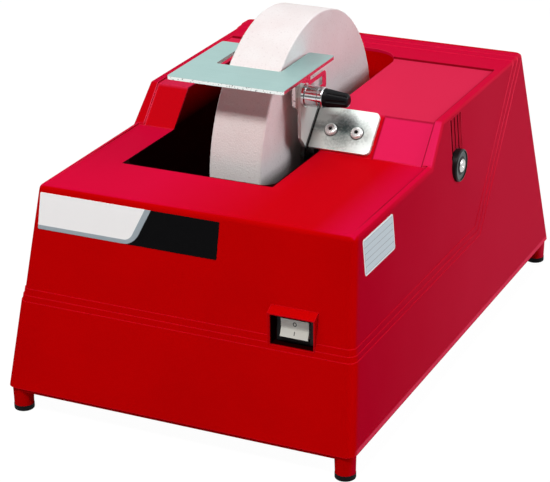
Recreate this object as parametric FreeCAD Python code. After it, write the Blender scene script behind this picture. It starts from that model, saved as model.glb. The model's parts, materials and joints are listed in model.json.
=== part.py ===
import FreeCAD, Part
import math
import os

# Frame: millimetres, +X to the right, +Y to the rear, +Z up, origin under the middle of the base

# Fits between pieces
snug = 0.05
running = 0.05
loose = 0.4

# How far a cutter runs past the faces it cuts, and how near two numbers count as the same
overrun = 1.0
touch = 0.01

# Casing, a box that tapers upwards: sizes at its bottom edge, lean per millimetre of height
casing_bottom = 18.8
casing_half_width = 131.6
casing_half_depth = 204.0
side_lean = 0.081
front_lean = 0.241
rear_lean = 0.253
corner_radius = 7.0
least_corner = 2.4
wall = 3.0
deck_wall = 4.0
lower_deck = 159.6
upper_deck = 184.5
slope_foot = -30.8
slope_head = -6.6
lower_edge_round = 4.5
upper_edge_round = 2.5
block_overlap = 40.0
reach = 300.0

# Stepped band: three small steps, level round the front and sides, then rising to the rear
band_step = 0.55
band_levels = (88.0, 83.5, 79.5)
band_kinks = (42.0, 45.5, 49.0)
band_rise_lean = 1.04

# Sunk panel on the decks, draining back from the front
panel_depth = 1.4
panel_front_border = 44.0
panel_rear_border = 86.0
panel_side_border = 21.6
panel_lower_border = 17.6

# Wheel well, walls drawn in towards the bottom
well_left = -85.0
well_right = 31.0
well_front = -108.0
well_rear = 131.0
well_front_radius = 10.0
well_rear_radius = 24.0
well_bottom = 84.0
well_draw = 1.5

# Legs, pads and the skirt between the legs
leg_inset = 8.6
leg_radius = 7.4
leg_foot_radius = 7.0
leg_top = 36.0
pad_height = 4.0
pad_radius = 7.2
pad_peg_radius = 3.0
pad_peg_length = 9.0
pad_round = 0.8
skirt_inset = 1.6
skirt_drop = 2.8

# Base plate and its screws
plate_thickness = 2.5
plate_gap = 0.5
boss_radius = 5.5
boss_top = 52.0
boss_side_inset = 10.6
boss_end_inset = 11.0
boss_along = 100.0
boss_across = -30.0
tapping_screw_radius = 1.75
tapping_screw_length = 13.0
tapping_head_radius = 3.4
tapping_head_height = 2.2
tapping_head_round = 0.9
tapping_slot_length = 4.8
tapping_slot_width = 1.0
tapping_slot_depth = 1.2
vent_length = 22.0
vent_middle = -70.0
vent_width = 4.0
vent_pitch = 12.0
vent_count = 6

# Wall ribs
rib_thickness = 2.0
rib_depth = 5.0
rib_foot_gap = 4.0
rib_head_gap = 8.0
rib_end_inset = 54.0
rib_inner_places = (-50.0, 62.0)

# Switch and its hood
hood_left = 64.0
hood_right = 98.0
hood_low = 81.0
hood_top = 108.0
hood_set_back = 0.7
hood_bevel = 3.0
switch_x = 81.5
switch_z = 93.4
recess_width = 31.4
recess_height = 21.6
recess_depth = 9.0
recess_floor = 3.4
bezel_width = 28.2
bezel_height = 20.6
bezel_thickness = 2.0
bezel_round = 0.8
switch_neck_width = 24.0
switch_neck_height = 17.0
switch_length = 13.7
rocker_width = 20.0
rocker_height = 12.6
rocker_pivot_depth = 4.4
rocker_end_reach = 7.0
rocker_middle_reach = 5.6
rocker_back = 2.0
rocker_tilt = 8.0
rocker_play = 0.35
rocker_pin_radius = 1.2
rocker_pin_length = 1.2
rocker_pin_play = 0.2
rocker_shoulder = 1.0
pocket_depth = 9.5
pocket_end_play = 1.2
tab_width = 6.3
tab_thickness = 0.8
tab_length = 8.0
tab_sink = 3.0
tab_spread = 6.0
tab_rise = 4.5
tab_hole_radius = 1.0
tab_hole_inset = 3.0

# Wheel and axle, axle along X
axle_y = 16.0
axle_below_lower_deck = 14.6
axle_below_upper_deck = 39.5
wheel_low = 45.0
wheel_width = 40.0
wheel_middle = -9.6
wheel_bore = 10.0
wheel_edge_round = 1.0
blotter_thickness = 0.6
blotter_radius = 33.0
flange_radius = 34.0
flange_thickness = 6.0
flange_relief_radius = 24.0
flange_relief_depth = 1.0
arbor_radius = 6.0
spindle_radius = 7.0
journal_radius = 5.0
nut_flats = 19.0
nut_height = 10.0
nut_face_share = 0.46
thread_stand_out = 5.0
spindle_gap = 2.0
axle_stand_out = 0.6
axle_chamfer = 0.7
centre_drill_radius = 1.6
slinger_left = 20.0
slinger_width = 4.0
slinger_radius = 20.0
slinger_lip = 2.0
seal_radius = 15.0
seal_left = 30.0
seal_width = 8.0
seal_boss_radius = 19.0
seal_boss_sink = 5.0

# Bush at the right side of the casing
side_bush_radius = 12.0
side_bush_length = 14.0
side_bush_stand_out = 3.27
side_bush_round = 1.2
side_boss_sink = 3.0
side_bush_core = 9.0
side_bush_rim = 1.4
side_bush_sink = 0.8
side_boss_radius = 16.0
dust_ring_radius = 6.8
dust_ring_width = 2.0
channel_half_width = 11.0
channel_top_gap = 3.0
channel_depth = 1.0
channel_clear = 9.0
flute_width = 2.2
flute_depth = 2.0
flute_pitch = 6.4
flute_count = 3

# Worm drive, worm along Y below the axle
drive_well_gap = 3.0
drive_wall_gap = 1.48
gear_module = 2.0
wheel_teeth = 24
worm_starts = 2
worm_pitch_radius = 10.0
tooth_slack = 0.2
tip_slack = 0.3
pressure_angle = 20.0
worm_wheel_width = 14.0
worm_wheel_hub_radius = 14.0
hub_end_play = 2.0
worm_half_length = 21.0
worm_run_out = 2.0
thread_sink = 0.3
key_width = 4.0
key_height = 4.0
key_inset = 5.0
key_sink = 2.4

# Gearbox round the worm drive
box_side_inset = 11.0
box_front_reach = 42.0
box_rear_reach = 44.0
box_edge_round = 4.0
chamber_radius = 29.0
bearing_land = 10.0
cover_radius = 32.0
cover_plate = 6.0
tunnel_radius = 14.5
end_bush_length = 14.0
bush_thickness = 3.0
bush_flange_radius = 12.5
bush_flange_width = 2.0
worm_end_radius = 5.0
box_screw_inset = 6.0
box_screw_radius = 2.5
box_screw_tie_gap = 1.73
box_screw_head_radius = 4.2
box_screw_head_height = 5.0
box_socket_flats = 4.0
box_socket_floor = 2.0
worm_end_gap = 2.0

# Motor in front of the gearbox
shield_wall = 9.2
shield_thickness = 10.0
front_shield_length = 26.0
rear_shield_length = 26.0
air_gap = 0.5
rotor_gap = 1.5
rotor_seat_radius = 7.0
rotor_seat_margin = 12.0
winding_inset = 10.0
winding_depth = 5.5
winding_length = 8.0
winding_bars = 12
winding_bar_radius = 1.9
winding_bar_sink = 2.0
winding_round = 2.0
front_seat_radius = 6.0
rear_seat_radius = 5.0
bearing_wall = 7.0
bearing_race = 1.8
bearing_seal_sink = 0.6
tie_inset = 6.5
tie_radius = 2.0
tie_grip = 10.0
tie_head_radius = 3.6
tie_head_height = 3.0
tie_slot_width = 1.0
tie_slot_depth = 1.0
tie_end_gap = 1.0
fan_gap = 5.0
fan_length = 10.0
fan_inset = 8.0
fan_plate = 1.5
fan_switch_gap = 17.6
shaft_end_reach = 1.0
fan_hub_radius = 8.0
fan_blade_sink = 2.0
fan_seat_radius = 4.0
fan_blades = 8
fan_blade_thickness = 1.8

# Cradle that carries motor and gearbox
cradle_thickness = 2.5
cradle_front_inset = 12.0
cradle_rear_inset = 2.0
cradle_foot = 16.0
cradle_screw_inset = 9.0
cradle_screw_end_inset = 18.0
cradle_screw_radius = 2.5
cradle_nut_flats = 8.0
cradle_nut_height = 4.0
cradle_thread_stand_out = 2.0

# Water trough below the well
trough_gap = 0.8
trough_wall = 2.5
trough_top = 92.0
trough_floor = 33.0
trough_floor_thickness = 3.0
trough_draw = 2.0
runner_width = 12.0
runner_inset = 6.0
runner_wall = 2.0
runner_end_wall = 3.0
runner_screw_land = 8.0
runner_sink = 1.0
trough_hole_gap = 0.5
runner_places = (-75.0, 95.0)
trough_screw_x = -27.0

# Capacitor, terminal block, cable gland and wiring
capacitor_radius = 17.5
capacitor_length = 58.0
capacitor_gap = 30.0
capacitor_offset = -3.0
capacitor_round = 2.0
capacitor_tab_spread = 6.0
clip_thickness = 1.6
clip_width = 16.0
clip_lug = 14.0
terminal_length = 34.0
terminal_width = 16.0
terminal_height = 15.0
terminal_gap = 15.0
terminal_poles = 3
terminal_offset = -12.0
terminal_screw_radius = 2.4
terminal_groove_width = 1.2
terminal_groove_depth = 4.0
gland_side_inset = 35.6
gland_z = 48.0
gland_radius = 8.0
gland_bore = 4.0
gland_flange_radius = 12.0
gland_flange_width = 4.0
gland_sink = 9.6
gland_seat_wall = 3.5
gland_nut_width = 6.0
gland_boss_wall = 3.0
gland_nose_inset = 2.0
gland_nose_wall = 2.5
gland_nose_length = 5.0
gland_thread_stand_out = 3.0
gland_nut_flats = 22.0
wire_radius = 1.6
wire_bend = 6.0
wire_above_base = 5.0
wire_bend_gap = 2.0
wire_side_gap = 5.0
wire_side_pitch = 4.5
wire_rise_pitch = 4.0
wire_cross_pitch = 6.0
wire_tab_gap = 0.2

# Tool rest, bracket and clamp
sheet = 2.5
rest_share = 0.748
rest_rise = 22.3
rest_left_leg = 19.0
rest_right_leg = 19.7
rest_bridge = 38.5
rest_leg_reach = 27.5
notch_left_gap = 7.9
notch_right_gap = 2.4
notch_front_gap = 3.13
rest_corner = 2.0
rest_flange_gap = 0.1
rest_flange_front_reach = 11.5
rest_flange_rear_reach = 42.0
rest_flange_drop = 8.4
rest_web_reach = 14.5
rest_arm_rise = 6.4
rest_flange_corner = 4.0
rest_travel = 32.0
bracket_wheel_gap = 9.1
bracket_width = 50.0
bracket_low = 1.0
bracket_high = 34.0
bracket_corner = 4.0
bracket_ear_radius = 8.0
bracket_front_rise = 10.4
bracket_chin_reach = 0.7
bracket_chin_rise = 0.6
bracket_screw_offsets = (17.0, 36.9)
bracket_screw_up = 16.2
bracket_screw_radius = 2.5
bracket_screw_head_radius = 4.5
bracket_screw_head_height = 2.6
bracket_screw_length = 10.0
bracket_socket_flats = 2.6
bracket_socket_depth = 1.8
bracket_boss_depth = 9.0
bracket_screw_round = 1.6
stud_reach = 1.7
stud_radius = 3.0
stud_head_radius = 8.0
stud_head_height = 3.6
stud_head_round = 2.0
stud_right = 34.0
washer_radius = 8.6
washer_thickness = 1.8
hub_radius = 7.6
hub_length = 13.4
hub_groove = 0.7
hub_groove_width = 1.0
hub_groove_inset = 3.0
hub_round = 0.8
grip_length = 18.5
grip_root_radius = 6.9
grip_end_radius = 4.8
grip_flutes = 8
grip_flute_radius = 1.5
grip_flute_start = 3.0
grip_root_offset = 0.6
grip_end_offset = 0.5
grip_round = 2.8

# Worked out from the sizes above
slope_angle = math.atan2(upper_deck - lower_deck, slope_head - slope_foot)
slope_half_tangent = math.tan(slope_angle / 2)
band_total = band_step * len(band_levels)
base_top = casing_bottom + plate_thickness
skirt_low = casing_bottom - skirt_drop
panel_front = -casing_half_depth + panel_front_border
panel_rear = casing_half_depth - panel_rear_border
panel_half_width = casing_half_width - panel_side_border
panel_lower_half_width = casing_half_width - panel_lower_border
boss_x = casing_half_width - boss_side_inset
boss_y = casing_half_depth - boss_end_inset
boss_places = [(side * boss_x, end * boss_along) for side in (-1, 1) for end in (-1, 1)]
boss_places += [(boss_across, -boss_y), (boss_across, boss_y)]
rib_end = casing_half_depth - rib_end_inset
rib_places = (-rib_end, *rib_inner_places, rib_end)
hood_face = -casing_half_depth + front_lean * (hood_low - casing_bottom) + hood_set_back
switch_back = hood_face + recess_depth + switch_length

axle_z = min(lower_deck - axle_below_lower_deck, upper_deck - axle_below_upper_deck)
wheel_radius = axle_z - wheel_low
wheel_left = wheel_middle - wheel_width / 2
wheel_right = wheel_middle + wheel_width / 2
shoulder = wheel_right + blotter_thickness + flange_thickness
clamp_left = wheel_left - blotter_thickness - flange_thickness
side_wall_x = casing_half_width - side_lean * (axle_z - casing_bottom) - band_total
side_bush_right = side_wall_x + side_bush_stand_out
side_bush_left = side_bush_right - side_bush_length
spindle_right = side_bush_left - spindle_gap
journal_right = side_bush_right + axle_stand_out

gear_centres = gear_module * wheel_teeth / 2 + worm_pitch_radius
worm_z = axle_z - gear_centres
worm_lead = math.pi * gear_module * worm_starts
worm_root_radius = worm_pitch_radius - 1.25 * gear_module
drive_wall_x = casing_half_width - side_lean * (worm_z - casing_bottom) - band_total - wall - rib_depth
drive_left = well_right + wall + drive_well_gap
drive_right = drive_wall_x - drive_wall_gap
gear_x = (drive_left + drive_right) / 2
motor_radius = (drive_right - drive_left) / 2
box_left = drive_left + box_side_inset
box_right = drive_right - box_side_inset
box_front = axle_y - box_front_reach
box_rear = axle_y + box_rear_reach
box_bottom = worm_z - motor_radius
chamber_left = box_left + bearing_land
chamber_right = box_right - bearing_land
worm_wheel_hub_width = chamber_right - chamber_left - 2 * hub_end_play
key_length = worm_wheel_hub_width - 2 * key_inset
tunnel_rear = box_rear - end_bush_length
tie_circle = motor_radius - tie_inset
tie_spread = tie_circle * math.sqrt(0.5)
box_screw_length = axle_z + cover_plate - worm_z - tie_spread - tie_radius - box_screw_tie_gap
winding_outer = motor_radius - winding_inset
winding_inner = winding_outer - winding_depth
rotor_radius = winding_inner - rotor_gap
fan_radius = motor_radius - fan_inset
core_rear = box_front - front_shield_length
shaft_front = switch_back + tab_length + fan_switch_gap
fan_rear = shaft_front + shaft_end_reach + fan_length
rear_shield_front = fan_rear + fan_gap
core_front = rear_shield_front + rear_shield_length
cradle_front = shaft_front + cradle_front_inset
cradle_rear = box_rear - cradle_rear_inset
cradle_screw_columns = (box_left + cradle_screw_inset, box_right - cradle_screw_inset)
cradle_screw_rows = (cradle_front + cradle_screw_end_inset, cradle_rear - cradle_screw_end_inset)
cradle_screw_places = [(x, y) for x in cradle_screw_columns for y in cradle_screw_rows]

gland_x = casing_half_width - gland_side_inset
gland_seat = casing_half_depth - rear_lean * (gland_z - casing_bottom) - gland_sink
terminal_y = gland_seat - terminal_gap
terminal_left = gear_x + terminal_offset
capacitor_rear = terminal_y - capacitor_gap
capacitor_front = capacitor_rear - capacitor_length
capacitor_x = gear_x + capacitor_offset
capacitor_z = base_top + clip_thickness + capacitor_radius

bracket_left = wheel_right + bracket_wheel_gap
bracket_right = bracket_left + bracket_width
bracket_screw_places = [bracket_left + offset for offset in bracket_screw_offsets]
rest_low = axle_z + rest_share * wheel_radius
rest_top = rest_low + sheet
stud_y = slope_foot - stud_reach
stud_z = rest_top - rest_rise
notch_left = wheel_left - notch_left_gap
notch_right = wheel_right + notch_right_gap
notch_front = axle_y - wheel_radius * math.sqrt(1 - rest_share ** 2) - notch_front_gap
rest_left = notch_left - rest_left_leg
rest_right = notch_right + rest_right_leg
rest_front = notch_front - rest_bridge
rest_rear = stud_y + rest_leg_reach
rest_flange_right = bracket_left - rest_flange_gap
rest_flange_left = rest_flange_right - sheet
stud_seat = bracket_left + sheet
hub_left = stud_seat + washer_thickness
hub_right = hub_left + hub_length
wire_level = base_top + wire_above_base


def point(x, y, z):
    return FreeCAD.Vector(x, y, z)


along_x = point(1, 0, 0)
along_y = point(0, 1, 0)
along_z = point(0, 0, 1)


def box(left, right, front, rear, low, high):
    return Part.makeBox(right - left, rear - front, high - low, point(left, front, low))


def rod_x(radius, left, right, y, z):
    return Part.makeCylinder(radius, right - left, point(left, y, z), along_x)


def rod_y(radius, front, rear, x, z):
    return Part.makeCylinder(radius, rear - front, point(x, front, z), along_y)


def rod_z(radius, low, high, x, y):
    return Part.makeCylinder(radius, high - low, point(x, y, low), along_z)


def ring_x(outer, inner, left, right, y, z):
    return rod_x(outer, left, right, y, z).cut(rod_x(inner, left, right, y, z))


def ring_y(outer, inner, front, rear, x, z):
    return rod_y(outer, front, rear, x, z).cut(rod_y(inner, front, rear, x, z))


def prism(corners, sweep):
    """Flat outline through the corners, swept along one vector."""
    return Part.Face(Part.makePolygon(corners + corners[:1])).extrude(sweep)


def prism_x(outline, left, right):
    """Outline of (y, z) corners, swept from left to right."""
    return prism([point(left, y, z) for y, z in outline], point(right - left, 0, 0))


def prism_y(outline, front, rear):
    """Outline of (x, z) corners, swept from front to rear."""
    return prism([point(x, front, z) for x, z in outline], point(0, rear - front, 0))


def prism_z(outline, low, high):
    """Outline of (x, y) corners, swept upwards."""
    return prism([point(x, y, low) for x, y in outline], point(0, 0, high - low))


def hexagon(flats, turn=0.0):
    """Six corners of a hexagon with the given width across its flats, about the origin."""
    radius = flats / math.sqrt(3)
    angles = [math.radians(turn + 60 * step) for step in range(6)]
    return [(radius * math.cos(angle), radius * math.sin(angle)) for angle in angles]


def edges_on(shape, test):
    """Edges whose ends all pass the test."""
    return [edge for edge in shape.Edges if all(test(vertex.Point) for vertex in edge.Vertexes)]


def tapered_box(low, low_sides, high, high_sides, front_radius, rear_radius):
    """Box with leaning flat walls between two heights; sides are (left, right, front, rear)."""
    left_low, right_low, front_low, rear_low = low_sides
    left_high, right_high, front_high, rear_high = high_sides
    lengthways = [(front_low, low), (rear_low, low), (rear_high, high), (front_high, high)]
    crossways = [(left_low, low), (right_low, low), (right_high, high), (left_high, high)]
    block = prism_x(lengthways, -reach, reach).common(prism_y(crossways, -reach, reach))
    middle = (front_low + rear_low) / 2
    for radius, side in ((front_radius, -1), (rear_radius, 1)):
        uprights = [edge for edge in block.Edges if edge.BoundBox.ZLength > (high - low) / 2]
        corners = [edge for edge in uprights if side * (edge.CenterOfMass.y - middle) > 0]
        block = block.makeFillet(radius, corners)
    return block.Solids[0]


def casing_sides(height, inset):
    """Left, right, front and rear of the casing's outside at one height, drawn in by inset."""
    up = height - casing_bottom
    half_width = casing_half_width - side_lean * up - inset
    front = -casing_half_depth + front_lean * up + inset
    rear = casing_half_depth - rear_lean * up - inset
    return -half_width, half_width, front, rear


def casing_block(inset, low, high):
    radius = max(corner_radius - inset, least_corner)
    return tapered_box(low, casing_sides(low, inset), high, casing_sides(high, inset), radius, radius)


def behind_slope(depth, low, high):
    """Everything behind the slope that joins the decks, with the slope sunk by depth."""
    foot_y = slope_foot + depth * slope_half_tangent
    run = 1 / math.tan(slope_angle)
    base = lower_deck - depth
    low_y = foot_y + (low - base) * run
    high_y = foot_y + (high - base) * run
    return prism_x([(low_y, low), (high_y, high), (reach, high), (reach, low)], -reach, reach)


def decks(inset, depth, low, lower_round, upper_round):
    """Lower and upper block of the casing in one solid, decks sunk by depth."""
    lower = casing_block(inset, low, lower_deck - depth)
    low_end = lower_deck - block_overlap
    upper = casing_block(inset, low_end, upper_deck - depth)
    upper = upper.common(behind_slope(depth, low_end - overrun, upper_deck + overrun))
    if lower_round:
        top = edges_on(lower, lambda p: abs(p.z - lower_deck + depth) < touch)
        lower = lower.makeFillet(lower_round, top)
        top = edges_on(upper, lambda p: abs(p.z - upper_deck + depth) < touch)
        flanks = [edge for edge in upper.Edges if edge.BoundBox.ZLength > block_overlap / 2
                  and edge.BoundBox.XLength < corner_radius and edge.CenterOfMass.y < axle_y]
        upper = upper.makeFillet(upper_round, top + flanks)
    return lower.fuse(upper)


def band_block(step):
    """Casing form below and behind one of the band's lines."""
    level = band_levels[step]
    kink = band_kinks[step]
    lift = band_step * (step + 1)
    top = upper_deck + lift
    block = casing_block(band_total - lift, casing_bottom, top)
    rim = edges_on(block, lambda p: abs(p.z - top) < touch)
    block = block.makeFillet(upper_edge_round, rim)
    crest = kink + band_rise_lean * (reach - level)
    outline = [(-reach, 0), (-reach, level), (kink, level), (crest, reach), (reach, reach), (reach, 0)]
    return block.common(prism_x(outline, -reach, reach))


def casing_form():
    """Outside of the casing as one solid, with the stepped band."""
    form = decks(band_total, 0, casing_bottom, lower_edge_round, upper_edge_round)
    for step in range(len(band_levels)):
        form = form.fuse(band_block(step))
    return form.removeSplitter()


def panel_cutters():
    """Space above the sunk panel of both decks and the slope."""
    floor = lower_deck - panel_depth
    shift = panel_depth * slope_half_tangent
    above = upper_deck + overrun
    upper_floor = upper_deck - panel_depth
    outline = [(panel_front, lower_deck), (slope_foot + shift, floor), (slope_head + shift, upper_floor),
               (panel_rear, upper_floor), (panel_rear, above), (panel_front, above)]
    whole = prism_x(outline, -panel_half_width, panel_half_width)
    borders = [(panel_front, lower_deck), (slope_foot, floor), (slope_foot, above), (panel_front, above)]
    return whole.fuse(prism_x(borders, -panel_lower_half_width, panel_lower_half_width))


def well_sides(height, offset):
    """Left, right, front and rear of the well at one height, grown outwards by offset."""
    draw = well_draw * (upper_deck - height) / (upper_deck - well_bottom) - offset
    return well_left + draw, well_right - draw, well_front + draw, well_rear - draw


def well_block(offset, low, high):
    return tapered_box(low, well_sides(low, offset), high, well_sides(high, offset),
                       well_front_radius + offset, well_rear_radius + offset)


def slope_frame(shape, x, up):
    """Places a shape drawn with +Z as its axis on the slope, Z out of the slope."""
    shape.rotate(point(0, 0, 0), along_x, math.degrees(slope_angle))
    y = slope_foot + up * math.cos(slope_angle)
    z = lower_deck + up * math.sin(slope_angle)
    shape.translate(point(x, y, z))
    return shape


def leg_places():
    across = casing_half_width - leg_inset
    along = casing_half_depth - leg_inset
    return [(-across, -along), (across, -along), (-across, along), (across, along)]


def legs(form):
    """Tapered legs below the casing, each with a peg hole for its pad."""
    solids = []
    for x, y in leg_places():
        leg = Part.makeCone(leg_foot_radius, leg_radius, casing_bottom - pad_height, point(x, y, pad_height))
        root = rod_z(leg_radius, casing_bottom, leg_top, x, y).common(form)
        peg_hole = rod_z(pad_peg_radius + snug, pad_height, pad_height + pad_peg_length + overrun, x, y)
        solids.append(leg.fuse(root).cut(peg_hole))
    return solids


def side_ribs(form):
    """Upright ribs inside both side walls."""
    solids = []
    foot = base_top + rib_foot_gap
    head = lower_deck - rib_head_gap
    foot_x = casing_sides(foot, band_total + wall)[1]
    head_x = casing_sides(head, band_total + wall)[1]
    for y in rib_places:
        for side in (-1, 1):
            outline = [(side * (foot_x - rib_depth), foot), (side * (foot_x + wall / 2), foot),
                       (side * (head_x + wall / 2), head), (side * (head_x - rib_depth), head)]
            solids.append(prism_y(outline, y - rib_thickness / 2, y + rib_thickness / 2).common(form))
    return solids


def hood():
    """Wedge round the switch: an upright face on the leaning front wall, under a slanted cap."""
    inner = hood_face + recess_depth + recess_floor
    outline = [(hood_face, hood_low), (hood_face, hood_top - hood_bevel),
               (hood_face + 2 * hood_bevel, hood_top), (inner, hood_top), (inner, hood_low)]
    return prism_x(outline, hood_left, hood_right)


def hood_cuts():
    half_width = recess_width / 2
    half_height = recess_height / 2
    recess = box(switch_x - half_width, switch_x + half_width, hood_face - overrun, hood_face + recess_depth,
                 switch_z - half_height, switch_z + half_height)
    half_width = switch_neck_width / 2 + snug
    half_height = switch_neck_height / 2 + snug
    window = box(switch_x - half_width, switch_x + half_width, hood_face, switch_back,
                 switch_z - half_height, switch_z + half_height)
    return recess.fuse(window)


def side_channel():
    """Fluted channel in the right wall above the axle's bush."""
    channel_top = upper_deck - channel_top_gap
    foot_x = casing_sides(axle_z, band_total)[1]
    head_x = casing_sides(channel_top, band_total)[1]

    def groove(front, rear, depth):
        outline = [(foot_x - depth, axle_z), (foot_x + channel_clear, axle_z),
                   (head_x + channel_clear, channel_top), (head_x - depth, channel_top)]
        return prism_y(outline, front, rear)

    cutter = groove(axle_y - channel_half_width, axle_y + channel_half_width, channel_depth)
    for flute in range(flute_count):
        middle = axle_y + (flute - (flute_count - 1) / 2) * flute_pitch
        cutter = cutter.fuse(groove(middle - flute_width / 2, middle + flute_width / 2, flute_depth))
    return cutter


def skirt():
    """Upright rim that continues the walls below the casing's edge, set back from them all round."""
    high = casing_bottom + wall
    outer = casing_sides(casing_bottom, skirt_inset)
    inner = casing_sides(casing_bottom, band_total + wall)
    rim = tapered_box(skirt_low, outer, high, outer, corner_radius, corner_radius)
    return rim.cut(tapered_box(skirt_low - overrun, inner, high + overrun, inner, least_corner, least_corner))


def main_casing():
    form = casing_form()
    hollow = decks(band_total + wall, deck_wall, casing_bottom - overrun, 0, 0)
    trimmed = form.cut(panel_cutters())
    shell = trimmed.cut(hollow)
    extras = [hood()]
    extras.append(well_block(wall, well_bottom, upper_deck + overrun).common(trimmed))
    seal_right = seal_left + seal_width
    extras.append(rod_x(seal_boss_radius, well_right - seal_boss_sink, seal_right, axle_y, axle_z))
    side_boss_left = side_bush_left + side_boss_sink
    extras.append(rod_x(side_boss_radius, side_boss_left, side_bush_right, axle_y, axle_z).common(form))
    gland_boss_radius = gland_flange_radius + gland_boss_wall
    gland_boss_front = gland_seat - gland_seat_wall
    extras.append(rod_y(gland_boss_radius, gland_boss_front, reach, gland_x, gland_z).common(form))
    for x, y in boss_places:
        extras.append(rod_z(boss_radius, base_top, boss_top, x, y).common(form))
    for x in bracket_screw_places:
        boss = Part.makeCylinder(boss_radius, bracket_boss_depth, point(0, 0, -bracket_boss_depth))
        extras.append(slope_frame(boss, x, bracket_screw_up).common(trimmed))
    extras.append(skirt())
    extras += legs(form)
    extras += side_ribs(form)
    shell = shell.multiFuse(extras)
    cuts = [well_block(0, well_bottom - overrun, upper_deck + overrun), hood_cuts(), side_channel()]
    seal_bore_left = well_right - seal_boss_sink - overrun
    cuts.append(rod_x(seal_radius + snug, seal_bore_left, seal_right + overrun, axle_y, axle_z))
    cuts.append(rod_x(side_bush_radius + snug, side_bush_left - overrun, reach, axle_y, axle_z))
    cuts.append(rod_y(gland_flange_radius + loose, gland_seat, reach, gland_x, gland_z))
    cuts.append(rod_y(gland_radius + snug, gland_boss_front - overrun, reach, gland_x, gland_z))
    for x, y in boss_places:
        hole_top = base_top + tapping_screw_length
        cuts.append(rod_z(tapping_screw_radius + snug, base_top - overrun, hole_top, x, y))
    for x in bracket_screw_places:
        hole_start = point(0, 0, -bracket_screw_length)
        hole = Part.makeCylinder(bracket_screw_radius + snug, 2 * bracket_screw_length, hole_start)
        cuts.append(slope_frame(hole, x, bracket_screw_up))
    return shell.cut(Part.makeCompound(cuts)).removeSplitter()


def foot_pads():
    pads = []
    for x, y in leg_places():
        pad = rod_z(pad_radius, 0, pad_height, x, y)
        pad = pad.makeFillet(pad_round, edges_on(pad, lambda p: p.z < touch))
        pads.append(pad.fuse(rod_z(pad_peg_radius, pad_height, pad_height + pad_peg_length, x, y)))
    return Part.makeCompound(pads)


def base_plate():
    """Bottom cover inside the casing's rim, with vent slots and holes for all screws."""
    inset = band_total + wall + plate_gap
    plate = casing_block(inset, casing_bottom, base_top)
    low = casing_bottom - overrun
    high = base_top + overrun
    cuts = [rod_z(leg_radius + plate_gap, low, high, x, y) for x, y in leg_places()]
    for x, y in boss_places + [(trough_screw_x, y) for y in runner_places]:
        cuts.append(rod_z(tapping_screw_radius + loose, low, high, x, y))
    for x, y in cradle_screw_places:
        cuts.append(rod_z(cradle_screw_radius + snug, low, high, x, y))
    for slot in range(vent_count):
        y = vent_middle + (slot - (vent_count - 1) / 2) * vent_pitch
        half = vent_length / 2
        opening = box(gear_x - half, gear_x + half, y - vent_width / 2, y + vent_width / 2, low, high)
        for end in (-half, half):
            opening = opening.fuse(rod_z(vent_width / 2, low, high, gear_x + end, y))
        cuts.append(opening)
    return plate.cut(Part.makeCompound(cuts))


def tapping_screw(x, y):
    """Pan head screw driven upwards through the base plate."""
    head = rod_z(tapping_head_radius, casing_bottom - tapping_head_height, casing_bottom, x, y)
    head = head.makeFillet(tapping_head_round, edges_on(head, lambda p: p.z < casing_bottom - touch))
    shank = rod_z(tapping_screw_radius, casing_bottom, casing_bottom + tapping_screw_length, x, y)
    low = casing_bottom - tapping_head_height
    half_length = tapping_slot_length / 2
    half_width = tapping_slot_width / 2
    slot = box(x - half_length, x + half_length, y - half_width, y + half_width,
               low, low + tapping_slot_depth)
    return head.fuse(shank).cut(slot)


def base_screws():
    return Part.makeCompound([tapping_screw(x, y) for x, y in boss_places])


def trough_screws():
    return Part.makeCompound([tapping_screw(trough_screw_x, y) for y in runner_places])


def water_trough():
    """Open tub that hangs round the lower end of the well and stands on two runners."""

    def sides(height, offset):
        draw = trough_draw * (trough_top - height) / (trough_top - trough_floor) - offset
        left, right, front, rear = well_sides(well_bottom, wall + trough_gap)
        return left + draw, right - draw, front + draw, rear - draw

    def block(offset, low):
        return tapered_box(low, sides(low, offset), trough_top, sides(trough_top, offset),
                           well_front_radius + wall, well_rear_radius + wall)

    tub = block(trough_wall, trough_floor).cut(block(0, trough_floor + trough_floor_thickness))
    left, right, front, rear = sides(trough_floor, 0)
    runner_left = left + runner_inset
    runner_right = right - runner_inset
    pockets = ((runner_left + runner_end_wall, trough_screw_x - runner_screw_land),
               (trough_screw_x + runner_screw_land, runner_right - runner_end_wall))
    hole_top = casing_bottom + tapping_screw_length + trough_hole_gap
    for y in runner_places:
        front = y - runner_width / 2
        rear = y + runner_width / 2
        runner = box(runner_left, runner_right, front, rear, base_top, trough_floor + runner_sink)
        for pocket_left, pocket_right in pockets:
            runner = runner.cut(box(pocket_left, pocket_right, front + runner_wall, rear - runner_wall,
                                    base_top - overrun, trough_floor - runner_sink))
        hole = rod_z(tapping_screw_radius + snug, base_top - overrun, hole_top, trough_screw_x, y)
        tub = tub.fuse(runner).cut(hole)
    return tub.removeSplitter()


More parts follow.
